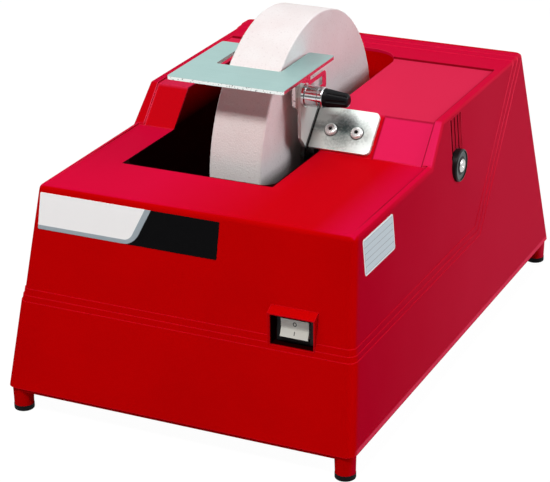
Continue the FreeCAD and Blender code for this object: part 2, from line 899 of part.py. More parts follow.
def switch_body():
    """Snap-in switch: bezel deep in the recess, neck through its floor, open pocket for the rocker."""
    floor = hood_face + recess_depth
    half_width = bezel_width / 2
    half_height = bezel_height / 2
    bezel = box(switch_x - half_width, switch_x + half_width, floor - bezel_thickness, floor,
                switch_z - half_height, switch_z + half_height)
    mouth = floor - bezel_thickness
    front = [edge for edge in bezel.Edges if edge.BoundBox.YMax < mouth + touch]
    bezel = bezel.makeFillet(bezel_round, front)
    half_width = switch_neck_width / 2
    half_height = switch_neck_height / 2
    neck = box(switch_x - half_width, switch_x + half_width, floor, switch_back,
               switch_z - half_height, switch_z + half_height)
    half_width = rocker_width / 2 + rocker_play
    half_height = rocker_height / 2 + pocket_end_play
    pocket = box(switch_x - half_width, switch_x + half_width, mouth - overrun, mouth + pocket_depth,
                 switch_z - half_height, switch_z + half_height)
    pin_reach = half_width + rocker_pin_length
    pins = rod_x(rocker_pin_radius + running, switch_x - pin_reach, switch_x + pin_reach,
                 mouth + rocker_pivot_depth, switch_z)
    body = bezel.fuse(neck).cut(pocket).cut(pins)
    for x, z in tab_places():
        body = body.cut(tab(x, z))
    return body


def tab_places():
    columns = (switch_x - tab_spread, switch_x + tab_spread)
    return [(x, switch_z + up * tab_rise) for x in columns for up in (-1, 1)]


def tab(x, z):
    """Flat terminal let into the back of the switch."""
    return box(x - tab_width / 2, x + tab_width / 2, switch_back - tab_sink, switch_back + tab_length,
               z - tab_thickness / 2, z + tab_thickness / 2)


def switch_terminals():
    tabs = []
    hole_y = switch_back + tab_length - tab_hole_inset
    for x, z in tab_places():
        tabs.append(tab(x, z).cut(rod_z(tab_hole_radius, z - overrun, z + overrun, x, hole_y)))
    return Part.makeCompound(tabs)


def switch_rocker():
    """Shallow V rocker, drawn level about its pivot and then tipped so that its upper end is in."""
    pivot_y = hood_face + recess_depth - bezel_thickness + rocker_pivot_depth
    half = rocker_height / 2
    back_half = half - rocker_shoulder
    outline = [(-rocker_end_reach, half), (-rocker_middle_reach, 0), (-rocker_end_reach, -half),
               (rocker_back, -back_half), (rocker_back, back_half)]
    left = switch_x - rocker_width / 2
    right = switch_x + rocker_width / 2
    body = prism_x([(pivot_y + y, switch_z + z) for y, z in outline], left, right)
    reach_out = rocker_play + rocker_pin_length - rocker_pin_play
    body = body.fuse(rod_x(rocker_pin_radius, left - reach_out, right + reach_out, pivot_y, switch_z))
    body.rotate(point(switch_x, pivot_y, switch_z), along_x, -rocker_tilt)
    return body


def grinding_wheel():
    stone = ring_x(wheel_radius, wheel_bore, wheel_left, wheel_right, axle_y, axle_z)
    rims = [edge for edge in stone.Edges if edge.BoundBox.ZLength > wheel_radius
            and edge.BoundBox.XLength < touch]
    return stone.makeFillet(wheel_edge_round, rims).fuse(wheel_bush())


def wheel_bush():
    """Lead bush cast into the stone's bore."""
    return ring_x(wheel_bore, arbor_radius + snug, wheel_left, wheel_right, axle_y, axle_z)


def wheel_blotters():
    blotters = []
    for left in (wheel_left - blotter_thickness, wheel_right):
        right = left + blotter_thickness
        blotters.append(ring_x(blotter_radius, arbor_radius + loose, left, right, axle_y, axle_z))
    return Part.makeCompound(blotters)


def clamp_flange(seat, away):
    """Dished disc that presses on the stone at its rim; away is the side that looks from the stone."""
    rim = sorted((seat, seat + away * flange_thickness / 2))
    hub = sorted((seat, seat + away * flange_thickness))
    relief = sorted((seat, seat + away * flange_relief_depth))
    disc = rod_x(flange_radius, rim[0], rim[1], axle_y, axle_z)
    disc = disc.fuse(rod_x(flange_relief_radius, hub[0], hub[1], axle_y, axle_z))
    disc = disc.cut(rod_x(flange_relief_radius, relief[0], relief[1], axle_y, axle_z))
    return disc.cut(rod_x(arbor_radius + snug, hub[0], hub[1], axle_y, axle_z))


def inner_flange():
    return clamp_flange(wheel_right + blotter_thickness, 1)


def outer_flange():
    return clamp_flange(wheel_left - blotter_thickness, -1)


def wheel_nut():
    outline = [(axle_y + y, axle_z + z) for y, z in hexagon(nut_flats)]
    left = clamp_left - nut_height
    nut = prism_x(outline, left, clamp_left)
    face_radius = nut_face_share * nut_flats
    cone_length = 2 * nut_height
    cone = Part.makeCone(face_radius, face_radius + cone_length, cone_length,
                         point(left, axle_y, axle_z), along_x)
    bore = rod_x(arbor_radius + snug, left - overrun, clamp_left + overrun, axle_y, axle_z)
    return nut.common(cone).cut(bore)


def worm_wheel_key():
    low = axle_z + spindle_radius - key_sink
    return box(gear_x - key_length / 2, gear_x + key_length / 2, axle_y - key_width / 2,
               axle_y + key_width / 2, low, low + key_height)


def wheel_axle():
    """Stepped axle: threaded arbor at the left, spindle through the gearbox, journal at the right."""
    arbor_end = clamp_left - nut_height - thread_stand_out
    axle = rod_x(arbor_radius, arbor_end, shoulder, axle_y, axle_z)
    axle = axle.fuse(rod_x(spindle_radius, shoulder, spindle_right, axle_y, axle_z))
    axle = axle.fuse(rod_x(journal_radius, spindle_right, journal_right, axle_y, axle_z))
    ends = [edge for edge in axle.Edges if edge.BoundBox.XMax < arbor_end + touch
            or edge.BoundBox.XMin > journal_right - touch]
    axle = axle.makeChamfer(axle_chamfer, ends)
    drill = Part.makeCone(0, centre_drill_radius, centre_drill_radius,
                          point(journal_right - centre_drill_radius, axle_y, axle_z), along_x)
    return axle.cut(drill).cut(worm_wheel_key())


def water_slinger():
    """Rubber disc on the spindle that throws water off before the seal."""
    left = slinger_left
    right = left + slinger_width
    disc = ring_x(slinger_radius, spindle_radius, left, left + slinger_width / 2, axle_y, axle_z)
    lip = ring_x(slinger_radius, slinger_radius - slinger_lip, left, right, axle_y, axle_z)
    collar = ring_x(spindle_radius + slinger_lip, spindle_radius, left, right, axle_y, axle_z)
    return disc.fuse(lip).fuse(collar)


def axle_seal():
    return ring_x(seal_radius, spindle_radius + running, seal_left, seal_left + seal_width, axle_y, axle_z)


def side_bush():
    """Black bush in the right wall, its face sunk inside a rim."""
    body = ring_x(side_bush_radius, side_bush_core, side_bush_left, side_bush_right, axle_y, axle_z)
    rim = edges_on(body, lambda p: p.x > side_bush_right - touch)
    outer = [edge for edge in rim if edge.BoundBox.ZLength > 2 * side_bush_core + touch]
    body = body.makeFillet(side_bush_round, outer)
    face = side_bush_right - side_bush_sink
    return body.cut(rod_x(side_bush_radius - side_bush_rim, face, side_bush_right, axle_y, axle_z))


def side_bush_sleeve():
    right = side_bush_right - side_bush_sink
    sleeve = ring_x(side_bush_core, journal_radius + running, side_bush_left, right, axle_y, axle_z)
    return sleeve.cut(rod_x(dust_ring_radius, right - dust_ring_width, right, axle_y, axle_z))


def axle_dust_ring():
    right = side_bush_right - side_bush_sink
    return ring_x(dust_ring_radius, journal_radius + running, right - dust_ring_width, right, axle_y, axle_z)


def gear_outline(turn, x):
    """Outline of the worm wheel's teeth at one x, turned about the axle."""
    pitch_radius = gear_module * wheel_teeth / 2
    tip = pitch_radius + gear_module - tip_slack
    root = pitch_radius - 1.25 * gear_module
    half_tooth = math.pi * gear_module / 4 - tooth_slack
    lean = math.tan(math.radians(pressure_angle))
    corners = []
    for tooth in range(wheel_teeth):
        middle = turn + 2 * math.pi * (tooth + 0.5) / wheel_teeth - math.pi / 2
        for side, radius in ((-1, root), (-1, tip), (1, tip), (1, root)):
            half = half_tooth - (radius - pitch_radius) * lean
            angle = middle + side * half / pitch_radius
            corners.append(point(x, axle_y + radius * math.cos(angle), axle_z + radius * math.sin(angle)))
    return Part.makePolygon(corners + corners[:1])


def worm_wheel():
    """Helical rim on a hub; its teeth lean by the worm's lead angle."""
    half = worm_wheel_width / 2
    twist = half * worm_lead / (2 * math.pi * worm_pitch_radius) / (gear_module * wheel_teeth / 2)
    rim = Part.makeLoft([gear_outline(-twist, gear_x - half), gear_outline(twist, gear_x + half)], True, True)
    hub_half = worm_wheel_hub_width / 2
    wheel = rim.fuse(rod_x(worm_wheel_hub_radius, gear_x - hub_half, gear_x + hub_half, axle_y, axle_z))
    wheel = wheel.cut(rod_x(spindle_radius, gear_x - hub_half, gear_x + hub_half, axle_y, axle_z))
    return wheel.cut(worm_wheel_key())


def worm_thread(start):
    """One thread of the worm: a trapezium swept along a helix, laid along Y with its middle at the top."""
    lean = math.tan(math.radians(pressure_angle))
    half_tooth = math.pi * gear_module / 4 - tooth_slack
    tip = worm_pitch_radius + gear_module - tip_slack
    root = worm_root_radius - thread_sink
    height = 2 * worm_half_length + worm_lead
    helix = Part.makeHelix(worm_lead, height, worm_pitch_radius)
    corners = []
    for side, radius in ((-1, root), (-1, tip), (1, tip), (1, root)):
        half = half_tooth - (radius - worm_pitch_radius) * lean
        corners.append(point(radius, 0, side * half))
    profile = Part.makePolygon(corners + corners[:1])
    thread = Part.Wire(helix).makePipeShell([profile], True, True)
    thread.translate(point(0, 0, -height / 2))
    thread = thread.common(Part.makeCylinder(2 * tip, 2 * worm_half_length, point(0, 0, -worm_half_length)))
    thread.rotate(point(0, 0, 0), along_z, 270 - 180 * height / worm_lead + 360 * start / worm_starts)
    thread.rotate(point(0, 0, 0), along_x, -90)
    thread.translate(point(gear_x, axle_y, worm_z))
    return thread


def worm_shaft():
    """Motor shaft in steps, with the worm's threads on its rear end."""
    front = axle_y - worm_half_length - worm_run_out
    rear = axle_y + worm_half_length + worm_run_out
    rotor_front = core_front - rotor_seat_margin
    bearing_front = box_front - shield_thickness
    turned = [(fan_seat_radius, shaft_front, rear_shield_front),
              (rear_seat_radius, rear_shield_front, rotor_front),
              (rotor_seat_radius, rotor_front, bearing_front), (front_seat_radius, bearing_front, front),
              (worm_root_radius, front, rear), (front_seat_radius, rear, tunnel_rear),
              (worm_end_radius, tunnel_rear, box_rear - worm_end_gap)]
    sections = [rod_y(radius, low, high, gear_x, worm_z) for radius, low, high in turned]
    shaft = sections[0].multiFuse(sections[1:])
    for start in range(worm_starts):
        shaft = shaft.fuse(worm_thread(start))
    return shaft


def gearbox_blank():
    """Outside of the closed gearbox: block below, barrel over the worm wheel, flange at the split."""
    block = box(box_left, box_right, box_front, box_rear, box_bottom, axle_z + cover_plate)
    uprights = [edge for edge in block.Edges if edge.BoundBox.ZLength > touch]
    block = block.makeFillet(box_edge_round, uprights)
    return block.fuse(rod_x(cover_radius, box_left, box_right, axle_y, axle_z))


def gearbox_cuts():
    cuts = [rod_x(chamber_radius, chamber_left, chamber_right, axle_y, axle_z)]
    spindle_bore = spindle_radius + bush_thickness + snug
    cuts.append(rod_x(spindle_bore, box_left - overrun, box_right + overrun, axle_y, axle_z))
    cuts.append(rod_y(tunnel_radius, box_front - overrun, tunnel_rear, gear_x, worm_z))
    end_bore = worm_end_radius + bush_thickness + snug
    cuts.append(rod_y(end_bore, tunnel_rear, box_rear + overrun, gear_x, worm_z))
    for x, z in tie_places():
        cuts.append(rod_y(tie_radius + snug, box_front - overrun, box_front + tie_grip, x, z))
    seat = axle_z + cover_plate
    for x, y in box_screw_places():
        cuts.append(rod_z(box_screw_radius + snug, seat - box_screw_length, seat + overrun, x, y))
    return Part.makeCompound(cuts)


def box_screw_places():
    columns = (box_left + box_screw_inset, box_right - box_screw_inset)
    rows = (box_front + box_screw_inset, box_rear - box_screw_inset)
    return [(x, y) for x in columns for y in rows]


def gearbox_housing():
    below = box(-reach, reach, -reach, reach, -reach, axle_z)
    return gearbox_blank().common(below).cut(gearbox_cuts())


def gearbox_cover():
    above = box(-reach, reach, -reach, reach, axle_z, reach)
    return gearbox_blank().common(above).cut(gearbox_cuts())


def gearbox_screws():
    screws = []
    seat = axle_z + cover_plate
    top = seat + box_screw_head_height
    for x, y in box_screw_places():
        head = rod_z(box_screw_head_radius, seat, top, x, y)
        socket = [(x + across, y + along) for across, along in hexagon(box_socket_flats)]
        head = head.cut(prism_z(socket, seat + box_socket_floor, top))
        screws.append(head.fuse(rod_z(box_screw_radius, seat - box_screw_length, seat, x, y)))
    return Part.makeCompound(screws)


def axle_bush(outer_end, inner_end):
    """Flanged bronze bush for the spindle, its flange on the gearbox's outside."""
    away = 1 if outer_end > inner_end else -1
    sleeve = sorted((outer_end, inner_end))
    collar = sorted((outer_end, outer_end + away * bush_flange_width))
    bush = rod_x(spindle_radius + bush_thickness, sleeve[0], sleeve[1], axle_y, axle_z)
    bush = bush.fuse(rod_x(bush_flange_radius, collar[0], collar[1], axle_y, axle_z))
    return bush.cut(rod_x(spindle_radius + running, drive_left, drive_right, axle_y, axle_z))


def axle_bush_left():
    return axle_bush(box_left, chamber_left)


def axle_bush_right():
    return axle_bush(box_right, chamber_right)


def worm_bush():
    outer = worm_end_radius + bush_thickness
    return ring_y(outer, worm_end_radius + running, tunnel_rear, box_rear, gear_x, worm_z)


def tie_places():
    columns = (gear_x - tie_spread, gear_x + tie_spread)
    return [(x, worm_z + up * tie_spread) for x in columns for up in (-1, 1)]


def tie_holes(front, rear):
    return Part.makeCompound([rod_y(tie_radius + snug, front, rear, x, z) for x, z in tie_places()])


def end_shield(front, rear, wall_front, wall_rear, seat_radius):
    """Cast cup that closes one end of the motor and holds a bearing."""
    shield = rod_y(motor_radius, front, rear, gear_x, worm_z)
    hollow_front = wall_rear if wall_front == front else front
    hollow_rear = wall_front if wall_front != front else rear
    shield = shield.cut(rod_y(motor_radius - shield_wall, hollow_front, hollow_rear, gear_x, worm_z))
    shield = shield.cut(rod_y(seat_radius + bearing_wall + snug, wall_front, wall_rear, gear_x, worm_z))
    return shield.cut(tie_holes(front - overrun, rear + overrun))


def motor_front_shield():
    return end_shield(core_rear, box_front, box_front - shield_thickness, box_front, front_seat_radius)


def motor_rear_shield():
    wall_rear = rear_shield_front + shield_thickness
    return end_shield(rear_shield_front, core_front, rear_shield_front, wall_rear, rear_seat_radius)


def bearing(radius, front, rear):
    """Sealed ball bearing, its shield sunk between the two races."""
    ring = ring_y(radius + bearing_wall, radius + running, front, rear, gear_x, worm_z)
    outer = radius + bearing_wall - bearing_race
    inner = radius + bearing_race
    for low, high in ((front, front + bearing_seal_sink), (rear - bearing_seal_sink, rear)):
        ring = ring.cut(ring_y(outer, inner, low, high, gear_x, worm_z))
    return ring


def front_bearing():
    return bearing(front_seat_radius, box_front - shield_thickness, box_front)


def rear_bearing():
    return bearing(rear_seat_radius, rear_shield_front, rear_shield_front + shield_thickness)


def bar_places():
    middle = (winding_inner + winding_outer) / 2
    angles = [2 * math.pi * (bar + 0.5) / winding_bars for bar in range(winding_bars)]
    return [(gear_x + middle * math.cos(angle), worm_z + middle * math.sin(angle)) for angle in angles]


def stator_core():
    core = ring_y(motor_radius, rotor_radius + air_gap, core_front, core_rear, gear_x, worm_z)
    front = core_front - overrun
    rear = core_rear + overrun
    slots = [rod_y(winding_bar_radius + snug, front, rear, x, z) for x, z in bar_places()]
    return core.cut(Part.makeCompound(slots)).cut(tie_holes(front, rear))


def stator_windings():
    """Copper end turns at both ends, joined by bars through the core's slots."""
    coil = []
    for low, high in ((core_front - winding_length, core_front), (core_rear, core_rear + winding_length)):
        turns = ring_y(winding_outer, winding_inner, low, high, gear_x, worm_z)
        outside = [edge for edge in turns.Edges if edge.BoundBox.YLength < touch
                   and not core_front - touch < edge.CenterOfMass.y < core_rear + touch]
        coil.append(turns.makeFillet(winding_round, outside))
    bar_front = core_front - winding_bar_sink
    bar_rear = core_rear + winding_bar_sink
    bars = [rod_y(winding_bar_radius, bar_front, bar_rear, x, z) for x, z in bar_places()]
    return coil[0].multiFuse(coil[1:] + bars)


def rotor_core():
    return ring_y(rotor_radius, rotor_seat_radius, core_front, core_rear, gear_x, worm_z)


def motor_tie_bolts():
    bolts = []
    for x, z in tie_places():
        shank = rod_y(tie_radius, rear_shield_front, box_front + tie_grip - tie_end_gap, x, z)
        head_front = rear_shield_front - tie_head_height
        head = rod_y(tie_head_radius, head_front, rear_shield_front, x, z)
        slot = box(x - tie_head_radius, x + tie_head_radius, head_front, head_front + tie_slot_depth,
                   z - tie_slot_width / 2, z + tie_slot_width / 2)
        bolts.append(shank.fuse(head.cut(slot)))
    return Part.makeCompound(bolts)


def cooling_fan():
    front = fan_rear - fan_length
    fan = rod_y(fan_hub_radius, front, fan_rear, gear_x, worm_z)
    fan = fan.fuse(rod_y(fan_radius, fan_rear - fan_plate, fan_rear, gear_x, worm_z))
    for blade in range(fan_blades):
        plate = box(gear_x + fan_hub_radius - fan_blade_sink, gear_x + fan_radius, front, fan_rear,
                    worm_z - fan_blade_thickness / 2, worm_z + fan_blade_thickness / 2)
        plate.rotate(point(gear_x, 0, worm_z), along_y, 360 * blade / fan_blades)
        fan = fan.fuse(plate)
    fan = fan.common(rod_y(fan_radius, front, fan_rear, gear_x, worm_z))
    return fan.cut(rod_y(fan_seat_radius, front - overrun, fan_rear + overrun, gear_x, worm_z))


def drive_cradle():
    """Folded steel channel: top plate under motor and gearbox, two legs, feet turned inwards."""
    inner_top = box_bottom - cradle_thickness
    channel = box(box_left, box_right, cradle_front, cradle_rear, base_top, box_bottom)
    channel = channel.cut(box(box_left + cradle_thickness, box_right - cradle_thickness,
                              cradle_front, cradle_rear, base_top, inner_top))
    foot_top = base_top + cradle_thickness
    for left, right in ((box_left, box_left + cradle_foot), (box_right - cradle_foot, box_right)):
        channel = channel.fuse(box(left, right, cradle_front, cradle_rear, base_top, foot_top))
    bends = [edge for edge in channel.Edges if edge.BoundBox.YLength > box_rear_reach
             and edge.CenterOfMass.z > box_bottom - touch]
    channel = channel.makeFillet(cradle_thickness, bends)
    low = base_top - overrun
    high = foot_top + overrun
    holes = [rod_z(cradle_screw_radius + snug, low, high, x, y) for x, y in cradle_screw_places]
    return channel.removeSplitter().cut(Part.makeCompound(holes))


def cradle_screws():
    """Screws up through base plate and cradle feet, each with its nut."""
    screws = []
    seat = base_top + cradle_thickness
    for x, y in cradle_screw_places:
        head = rod_z(2 * cradle_screw_radius, casing_bottom - cradle_screw_radius, casing_bottom, x, y)
        nut_top = seat + cradle_nut_height
        shank = rod_z(cradle_screw_radius, casing_bottom, nut_top + cradle_thread_stand_out, x, y)
        corners = [(x + across, y + along) for across, along in hexagon(cradle_nut_flats)]
        screws.append(head.fuse(shank).fuse(prism_z(corners, seat, nut_top)))
    return Part.makeCompound(screws)


def capacitor():
    can = rod_y(capacitor_radius, capacitor_front, capacitor_rear, capacitor_x, capacitor_z)
    ends = [edge for edge in can.Edges if edge.BoundBox.YLength < touch]
    can = can.makeFillet(capacitor_round, ends)
    tab_front = capacitor_front - tab_length
    tab_rear = capacitor_front + tab_sink
    for x in (capacitor_x - capacitor_tab_spread, capacitor_x + capacitor_tab_spread):
        can = can.fuse(box(x - tab_width / 2, x + tab_width / 2, tab_front, tab_rear,
                           capacitor_z - tab_thickness / 2, capacitor_z + tab_thickness / 2))
    return can


def capacitor_clip():
    """Strap over the can with a lug at each side on the base plate."""
    front = (capacitor_front + capacitor_rear - clip_width) / 2
    rear = front + clip_width
    outer = capacitor_radius + clip_thickness
    lug_end = outer + clip_lug
    strap = rod_y(outer, front, rear, capacitor_x, capacitor_z)
    strap = strap.fuse(box(capacitor_x - outer, capacitor_x + outer, front, rear, base_top, capacitor_z))
    strap = strap.fuse(box(capacitor_x - lug_end, capacitor_x + lug_end, front, rear,
                           base_top, base_top + clip_thickness))
    strap = strap.cut(rod_y(capacitor_radius, front, rear, capacitor_x, capacitor_z))
    return strap.removeSplitter()


def terminal_block():
    """Screw terminals in a row, with cross holes for the leads."""
    left = terminal_left
    high = base_top + terminal_height
    front = terminal_y - terminal_width / 2
    rear = terminal_y + terminal_width / 2
    block = box(left, left + terminal_length, front, rear, base_top, high)
    pitch = terminal_length / terminal_poles
    for pole in range(terminal_poles):
        x = left + (pole + 0.5) * pitch
        block = block.cut(rod_y(wire_radius + loose, front - overrun, rear + overrun, x, wire_level))
        block = block.cut(rod_z(terminal_screw_radius, wire_level, high + overrun, x, terminal_y))
        groove = x + pitch / 2
        half = terminal_groove_width / 2
        block = block.cut(box(groove - half, groove + half, front - overrun, rear + overrun,
                              high - terminal_groove_depth, high + overrun))
    return block


def cable_gland():
    """Gland in the rear wall: flange in its seat, threaded barrel through it."""
    flange = rod_y(gland_flange_radius, gland_seat, gland_seat + gland_flange_width, gland_x, gland_z)
    nose_start = point(gland_x, gland_seat + gland_flange_width, gland_z)
    nose = Part.makeCone(gland_flange_radius - gland_nose_inset, gland_bore + gland_nose_wall,
                         gland_nose_length, nose_start, along_y)
    barrel_front = gland_seat - gland_seat_wall - gland_nut_width - gland_thread_stand_out
    barrel = rod_y(gland_radius, barrel_front, gland_seat, gland_x, gland_z)
    gland = flange.fuse(nose).fuse(barrel)
    return gland.cut(rod_y(gland_bore, barrel_front - overrun, reach, gland_x, gland_z))


def gland_nut():
    rear = gland_seat - gland_seat_wall
    front = rear - gland_nut_width
    outline = [(gland_x + x, gland_z + z) for x, z in hexagon(gland_nut_flats)]
    return prism_y(outline, front, rear).cut(rod_y(gland_radius + snug, front, rear, gland_x, gland_z))


def wire(corners):
    """Round lead through the corners, with an arc at each bend."""
    edges = []
    start = corners[0]
    for here, corner in enumerate(corners[1:-1], 1):
        back = (corners[here - 1] - corner).normalize()
        ahead = (corners[here + 1] - corner).normalize()
        first = corner + back * wire_bend
        last = corner + ahead * wire_bend
        middle = corner + (back + ahead) * (wire_bend * (1 - math.sqrt(0.5)))
        edges.append(Part.makeLine(start, first))
        edges.append(Part.Arc(first, middle, last).toShape())
        start = last
    edges.append(Part.makeLine(start, corners[-1]))
    path = Part.Wire(edges)
    direction = (corners[1] - corners[0]).normalize()
    section = Part.Wire(Part.makeCircle(wire_radius, corners[0], direction))
    return path.makePipeShell([section], True, True)


def wiring_loom():
    """Leads from the terminal block to the switch, laid along the base and up inside the front wall."""
    leads = []
    pitch = terminal_length / terminal_poles
    tab_end = switch_back + tab_length
    level = wire_level
    for lead, (x, z) in enumerate(tab_places()[:2]):
        start_x = terminal_left + (lead + 0.5) * pitch
        start_y = terminal_y - terminal_width / 2 + wire_bend
        cross_y = start_y - 2 * wire_bend - wire_bend_gap - wire_cross_pitch * lead
        run_x = box_right + wire_side_gap + wire_side_pitch * lead
        rise_y = tab_end + wire_bend + wire_bend_gap + wire_rise_pitch * lead
        leads.append(wire([point(start_x, start_y, level), point(start_x, cross_y, level),
                           point(run_x, cross_y, level), point(run_x, rise_y, level), point(x, rise_y, level),
                           point(x, rise_y, z), point(x, tab_end + wire_tab_gap, z)]))
    return Part.makeCompound(leads)


def bracket_base(x_left, low):
    """Plate of the bracket on the sunk slope, drawn flat and then laid on the slope."""
    plate = box(x_left, bracket_right, bracket_low, bracket_high, low, low + sheet)
    corners = [edge for edge in plate.Edges if edge.BoundBox.ZLength > touch
               and edge.CenterOfMass.x > bracket_right - touch]
    plate = plate.makeFillet(bracket_corner, corners)
    plate.rotate(point(0, 0, 0), along_x, math.degrees(slope_angle))
    plate.translate(point(0, slope_foot, lower_deck))
    return plate


def rest_bracket():
    """Bent zinc bracket: plate on the slope and an upright ear that carries the clamp."""
    plate = bracket_base(bracket_left, -panel_depth)
    up = bracket_high
    head_y = slope_foot + up * math.cos(slope_angle) + panel_depth * math.sin(slope_angle)
    head_z = lower_deck + up * math.sin(slope_angle) - panel_depth * math.cos(slope_angle)
    foot_y = slope_foot + bracket_low * math.cos(slope_angle) + panel_depth * math.sin(slope_angle)
    foot_z = lower_deck + bracket_low * math.sin(slope_angle) - panel_depth * math.cos(slope_angle)
    tangent = bracket_ear_radius * math.sqrt(0.5)
    front = stud_y - bracket_ear_radius
    outline = [(foot_y, foot_z), (head_y, head_z), (stud_y + tangent, stud_z + tangent), (stud_y, stud_z),
               (front, stud_z), (front, lower_deck + bracket_front_rise),
               (slope_foot - bracket_chin_reach, lower_deck + bracket_chin_rise)]
    ear = prism_x(outline, bracket_left, stud_seat)
    ear = ear.fuse(rod_x(bracket_ear_radius, bracket_left, stud_seat, stud_y, stud_z))
    bracket = plate.fuse(ear).removeSplitter()
    bore = rod_x(stud_radius + running, bracket_left - overrun, stud_seat + overrun, stud_y, stud_z)
    bracket = bracket.cut(bore)
    for x in bracket_screw_places:
        hole = Part.makeCylinder(bracket_screw_radius + snug, 4 * sheet, point(0, 0, -2 * sheet))
        bracket = bracket.cut(slope_frame(hole, x, bracket_screw_up))
    return bracket


def bracket_screws():
    """Button head screws with a hexagon socket, square to the slope."""
    screws = []
    seat = sheet - panel_depth
    for x in bracket_screw_places:
        head = Part.makeCylinder(bracket_screw_head_radius, bracket_screw_head_height, point(0, 0, seat))
        top = seat + bracket_screw_head_height
        rim = edges_on(head, lambda p: p.z > top - touch)
        head = head.makeFillet(bracket_screw_round, rim)
        socket = prism_z(hexagon(bracket_socket_flats), top - bracket_socket_depth, top + overrun)
        shank_end = point(0, 0, seat - bracket_screw_length)
        shank = Part.makeCylinder(bracket_screw_radius, bracket_screw_length, shank_end)
        screws.append(slope_frame(head.cut(socket).fuse(shank), x, bracket_screw_up))
    return Part.makeCompound(screws)


def clamp_bolt():
    """Coach bolt through the slot: round head, square neck in the slot, shank to the handle."""
    head_left = rest_flange_left - stud_head_height
    head = rod_x(stud_head_radius, head_left, rest_flange_left, stud_y, stud_z)
    rim = [edge for edge in head.Edges if edge.BoundBox.XMax < head_left + touch]
    head = head.makeFillet(stud_head_round, rim)
    neck = box(rest_flange_left, rest_flange_right, stud_y - stud_radius, stud_y + stud_radius,
               stud_z - stud_radius, stud_z + stud_radius)
    shank = rod_x(stud_radius, rest_flange_right, stud_right, stud_y, stud_z)
    return head.fuse(neck).fuse(shank)


def clamp_washer():
    return ring_x(washer_radius, stud_radius + loose, stud_seat, hub_left, stud_y, stud_z)


def tool_rest():
    """U-shaped plate round the stone; a web below its right leg carries a slotted arm to the rear."""
    plate = box(rest_left, rest_right, rest_front, rest_rear, rest_low, rest_top)
    plate = plate.cut(box(notch_left, notch_right, notch_front, rest_rear + overrun,
                          rest_low - overrun, rest_top + overrun))
    uprights = [edge for edge in plate.Edges if edge.BoundBox.ZLength > touch]
    plate = plate.makeFillet(rest_corner, uprights)
    foot = stud_z - rest_flange_drop
    front = stud_y - rest_flange_front_reach
    web_rear = stud_y + rest_web_reach
    arm_rear = stud_y + rest_flange_rear_reach
    arm_top = stud_z + rest_arm_rise
    outline = [(front, foot), (arm_rear, foot), (arm_rear, arm_top), (web_rear, arm_top),
               (web_rear, rest_low), (front, rest_low)]
    flange = prism_x(outline, rest_flange_left, rest_flange_right)
    corners = edges_on(flange, lambda p: p.z < foot + touch or p.y > arm_rear - touch)
    corners = [edge for edge in corners if edge.BoundBox.XLength > touch]
    flange = flange.makeFillet(rest_flange_corner, corners)
    half = stud_radius + running
    slot = box(rest_flange_left - overrun, rest_flange_right + overrun,
               stud_y - half, stud_y + rest_travel + half, stud_z - half, stud_z + half)
    return plate.fuse(flange.cut(slot)).removeSplitter()


def handle_hub():
    """Threaded steel collar of the clamp handle."""
    hub = rod_x(hub_radius, hub_left, hub_right, stud_y, stud_z)
    ends = [edge for edge in hub.Edges if edge.BoundBox.XLength < touch]
    hub = hub.makeFillet(hub_round, ends)
    groove_right = hub_right - hub_groove_inset
    groove = ring_x(hub_radius + overrun, hub_radius - hub_groove, groove_right - hub_groove_width,
                    groove_right, stud_y, stud_z)
    bore = rod_x(stud_radius + running, hub_left - overrun, stud_right + overrun, stud_y, stud_z)
    return hub.cut(groove).cut(bore)


def handle_grip():
    """Black grip that tapers to its end, with hollows along it."""
    grip = Part.makeCone(grip_root_radius, grip_end_radius, grip_length,
                         point(hub_right, stud_y, stud_z), along_x)
    grip_right = hub_right + grip_length
    far = [edge for edge in grip.Edges if edge.BoundBox.XMin > grip_right - touch]
    grip = grip.makeFillet(grip_round, far)
    hollows = []
    for flute in range(grip_flutes):
        angle = 2 * math.pi * flute / grip_flutes
        outwards = point(0, math.cos(angle), math.sin(angle))
        root = point(hub_right + grip_flute_start, stud_y, stud_z)
        start = root + outwards * (grip_root_radius + grip_root_offset)
        end = point(grip_right + overrun, stud_y, stud_z) + outwards * (grip_end_radius + grip_end_offset)
        hollows.append(Part.makeCylinder(grip_flute_radius, (end - start).Length, start, end - start))
    return grip.cut(Part.makeCompound(hollows))


pieces = (
    main_casing, water_trough, base_plate, base_screws, trough_screws, foot_pads,
    switch_body, switch_terminals, switch_rocker,
    grinding_wheel, wheel_blotters, inner_flange, outer_flange, wheel_nut, wheel_axle, worm_wheel_key,
    water_slinger, axle_seal, side_bush, side_bush_sleeve, axle_dust_ring,
    worm_wheel, worm_shaft, worm_bush, axle_bush_left, axle_bush_right,
    gearbox_housing, gearbox_cover, gearbox_screws,
    motor_front_shield, motor_rear_shield, front_bearing, rear_bearing, stator_core, stator_windings,
    rotor_core, motor_tie_bolts, cooling_fan, drive_cradle, cradle_screws,
    capacitor, capacitor_clip, terminal_block, cable_gland, gland_nut, wiring_loom,
    rest_bracket, bracket_screws, clamp_bolt, clamp_washer, tool_rest, handle_hub, handle_grip,
)

os.makedirs("parts", exist_ok=True)
for make_piece in pieces:
    shape = make_piece()
    name = make_piece.__name__
    print(name, "solids", len(shape.Solids), "valid", shape.isValid(), "volume", round(shape.Volume))
    shape.exportStep(f"parts/{name}.step")
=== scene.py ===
"""Looks of a wet grinding sharpener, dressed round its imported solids. Lengths are in metres."""

import json
import math

import bpy
import numpy as np
from mathutils import Matrix, Vector


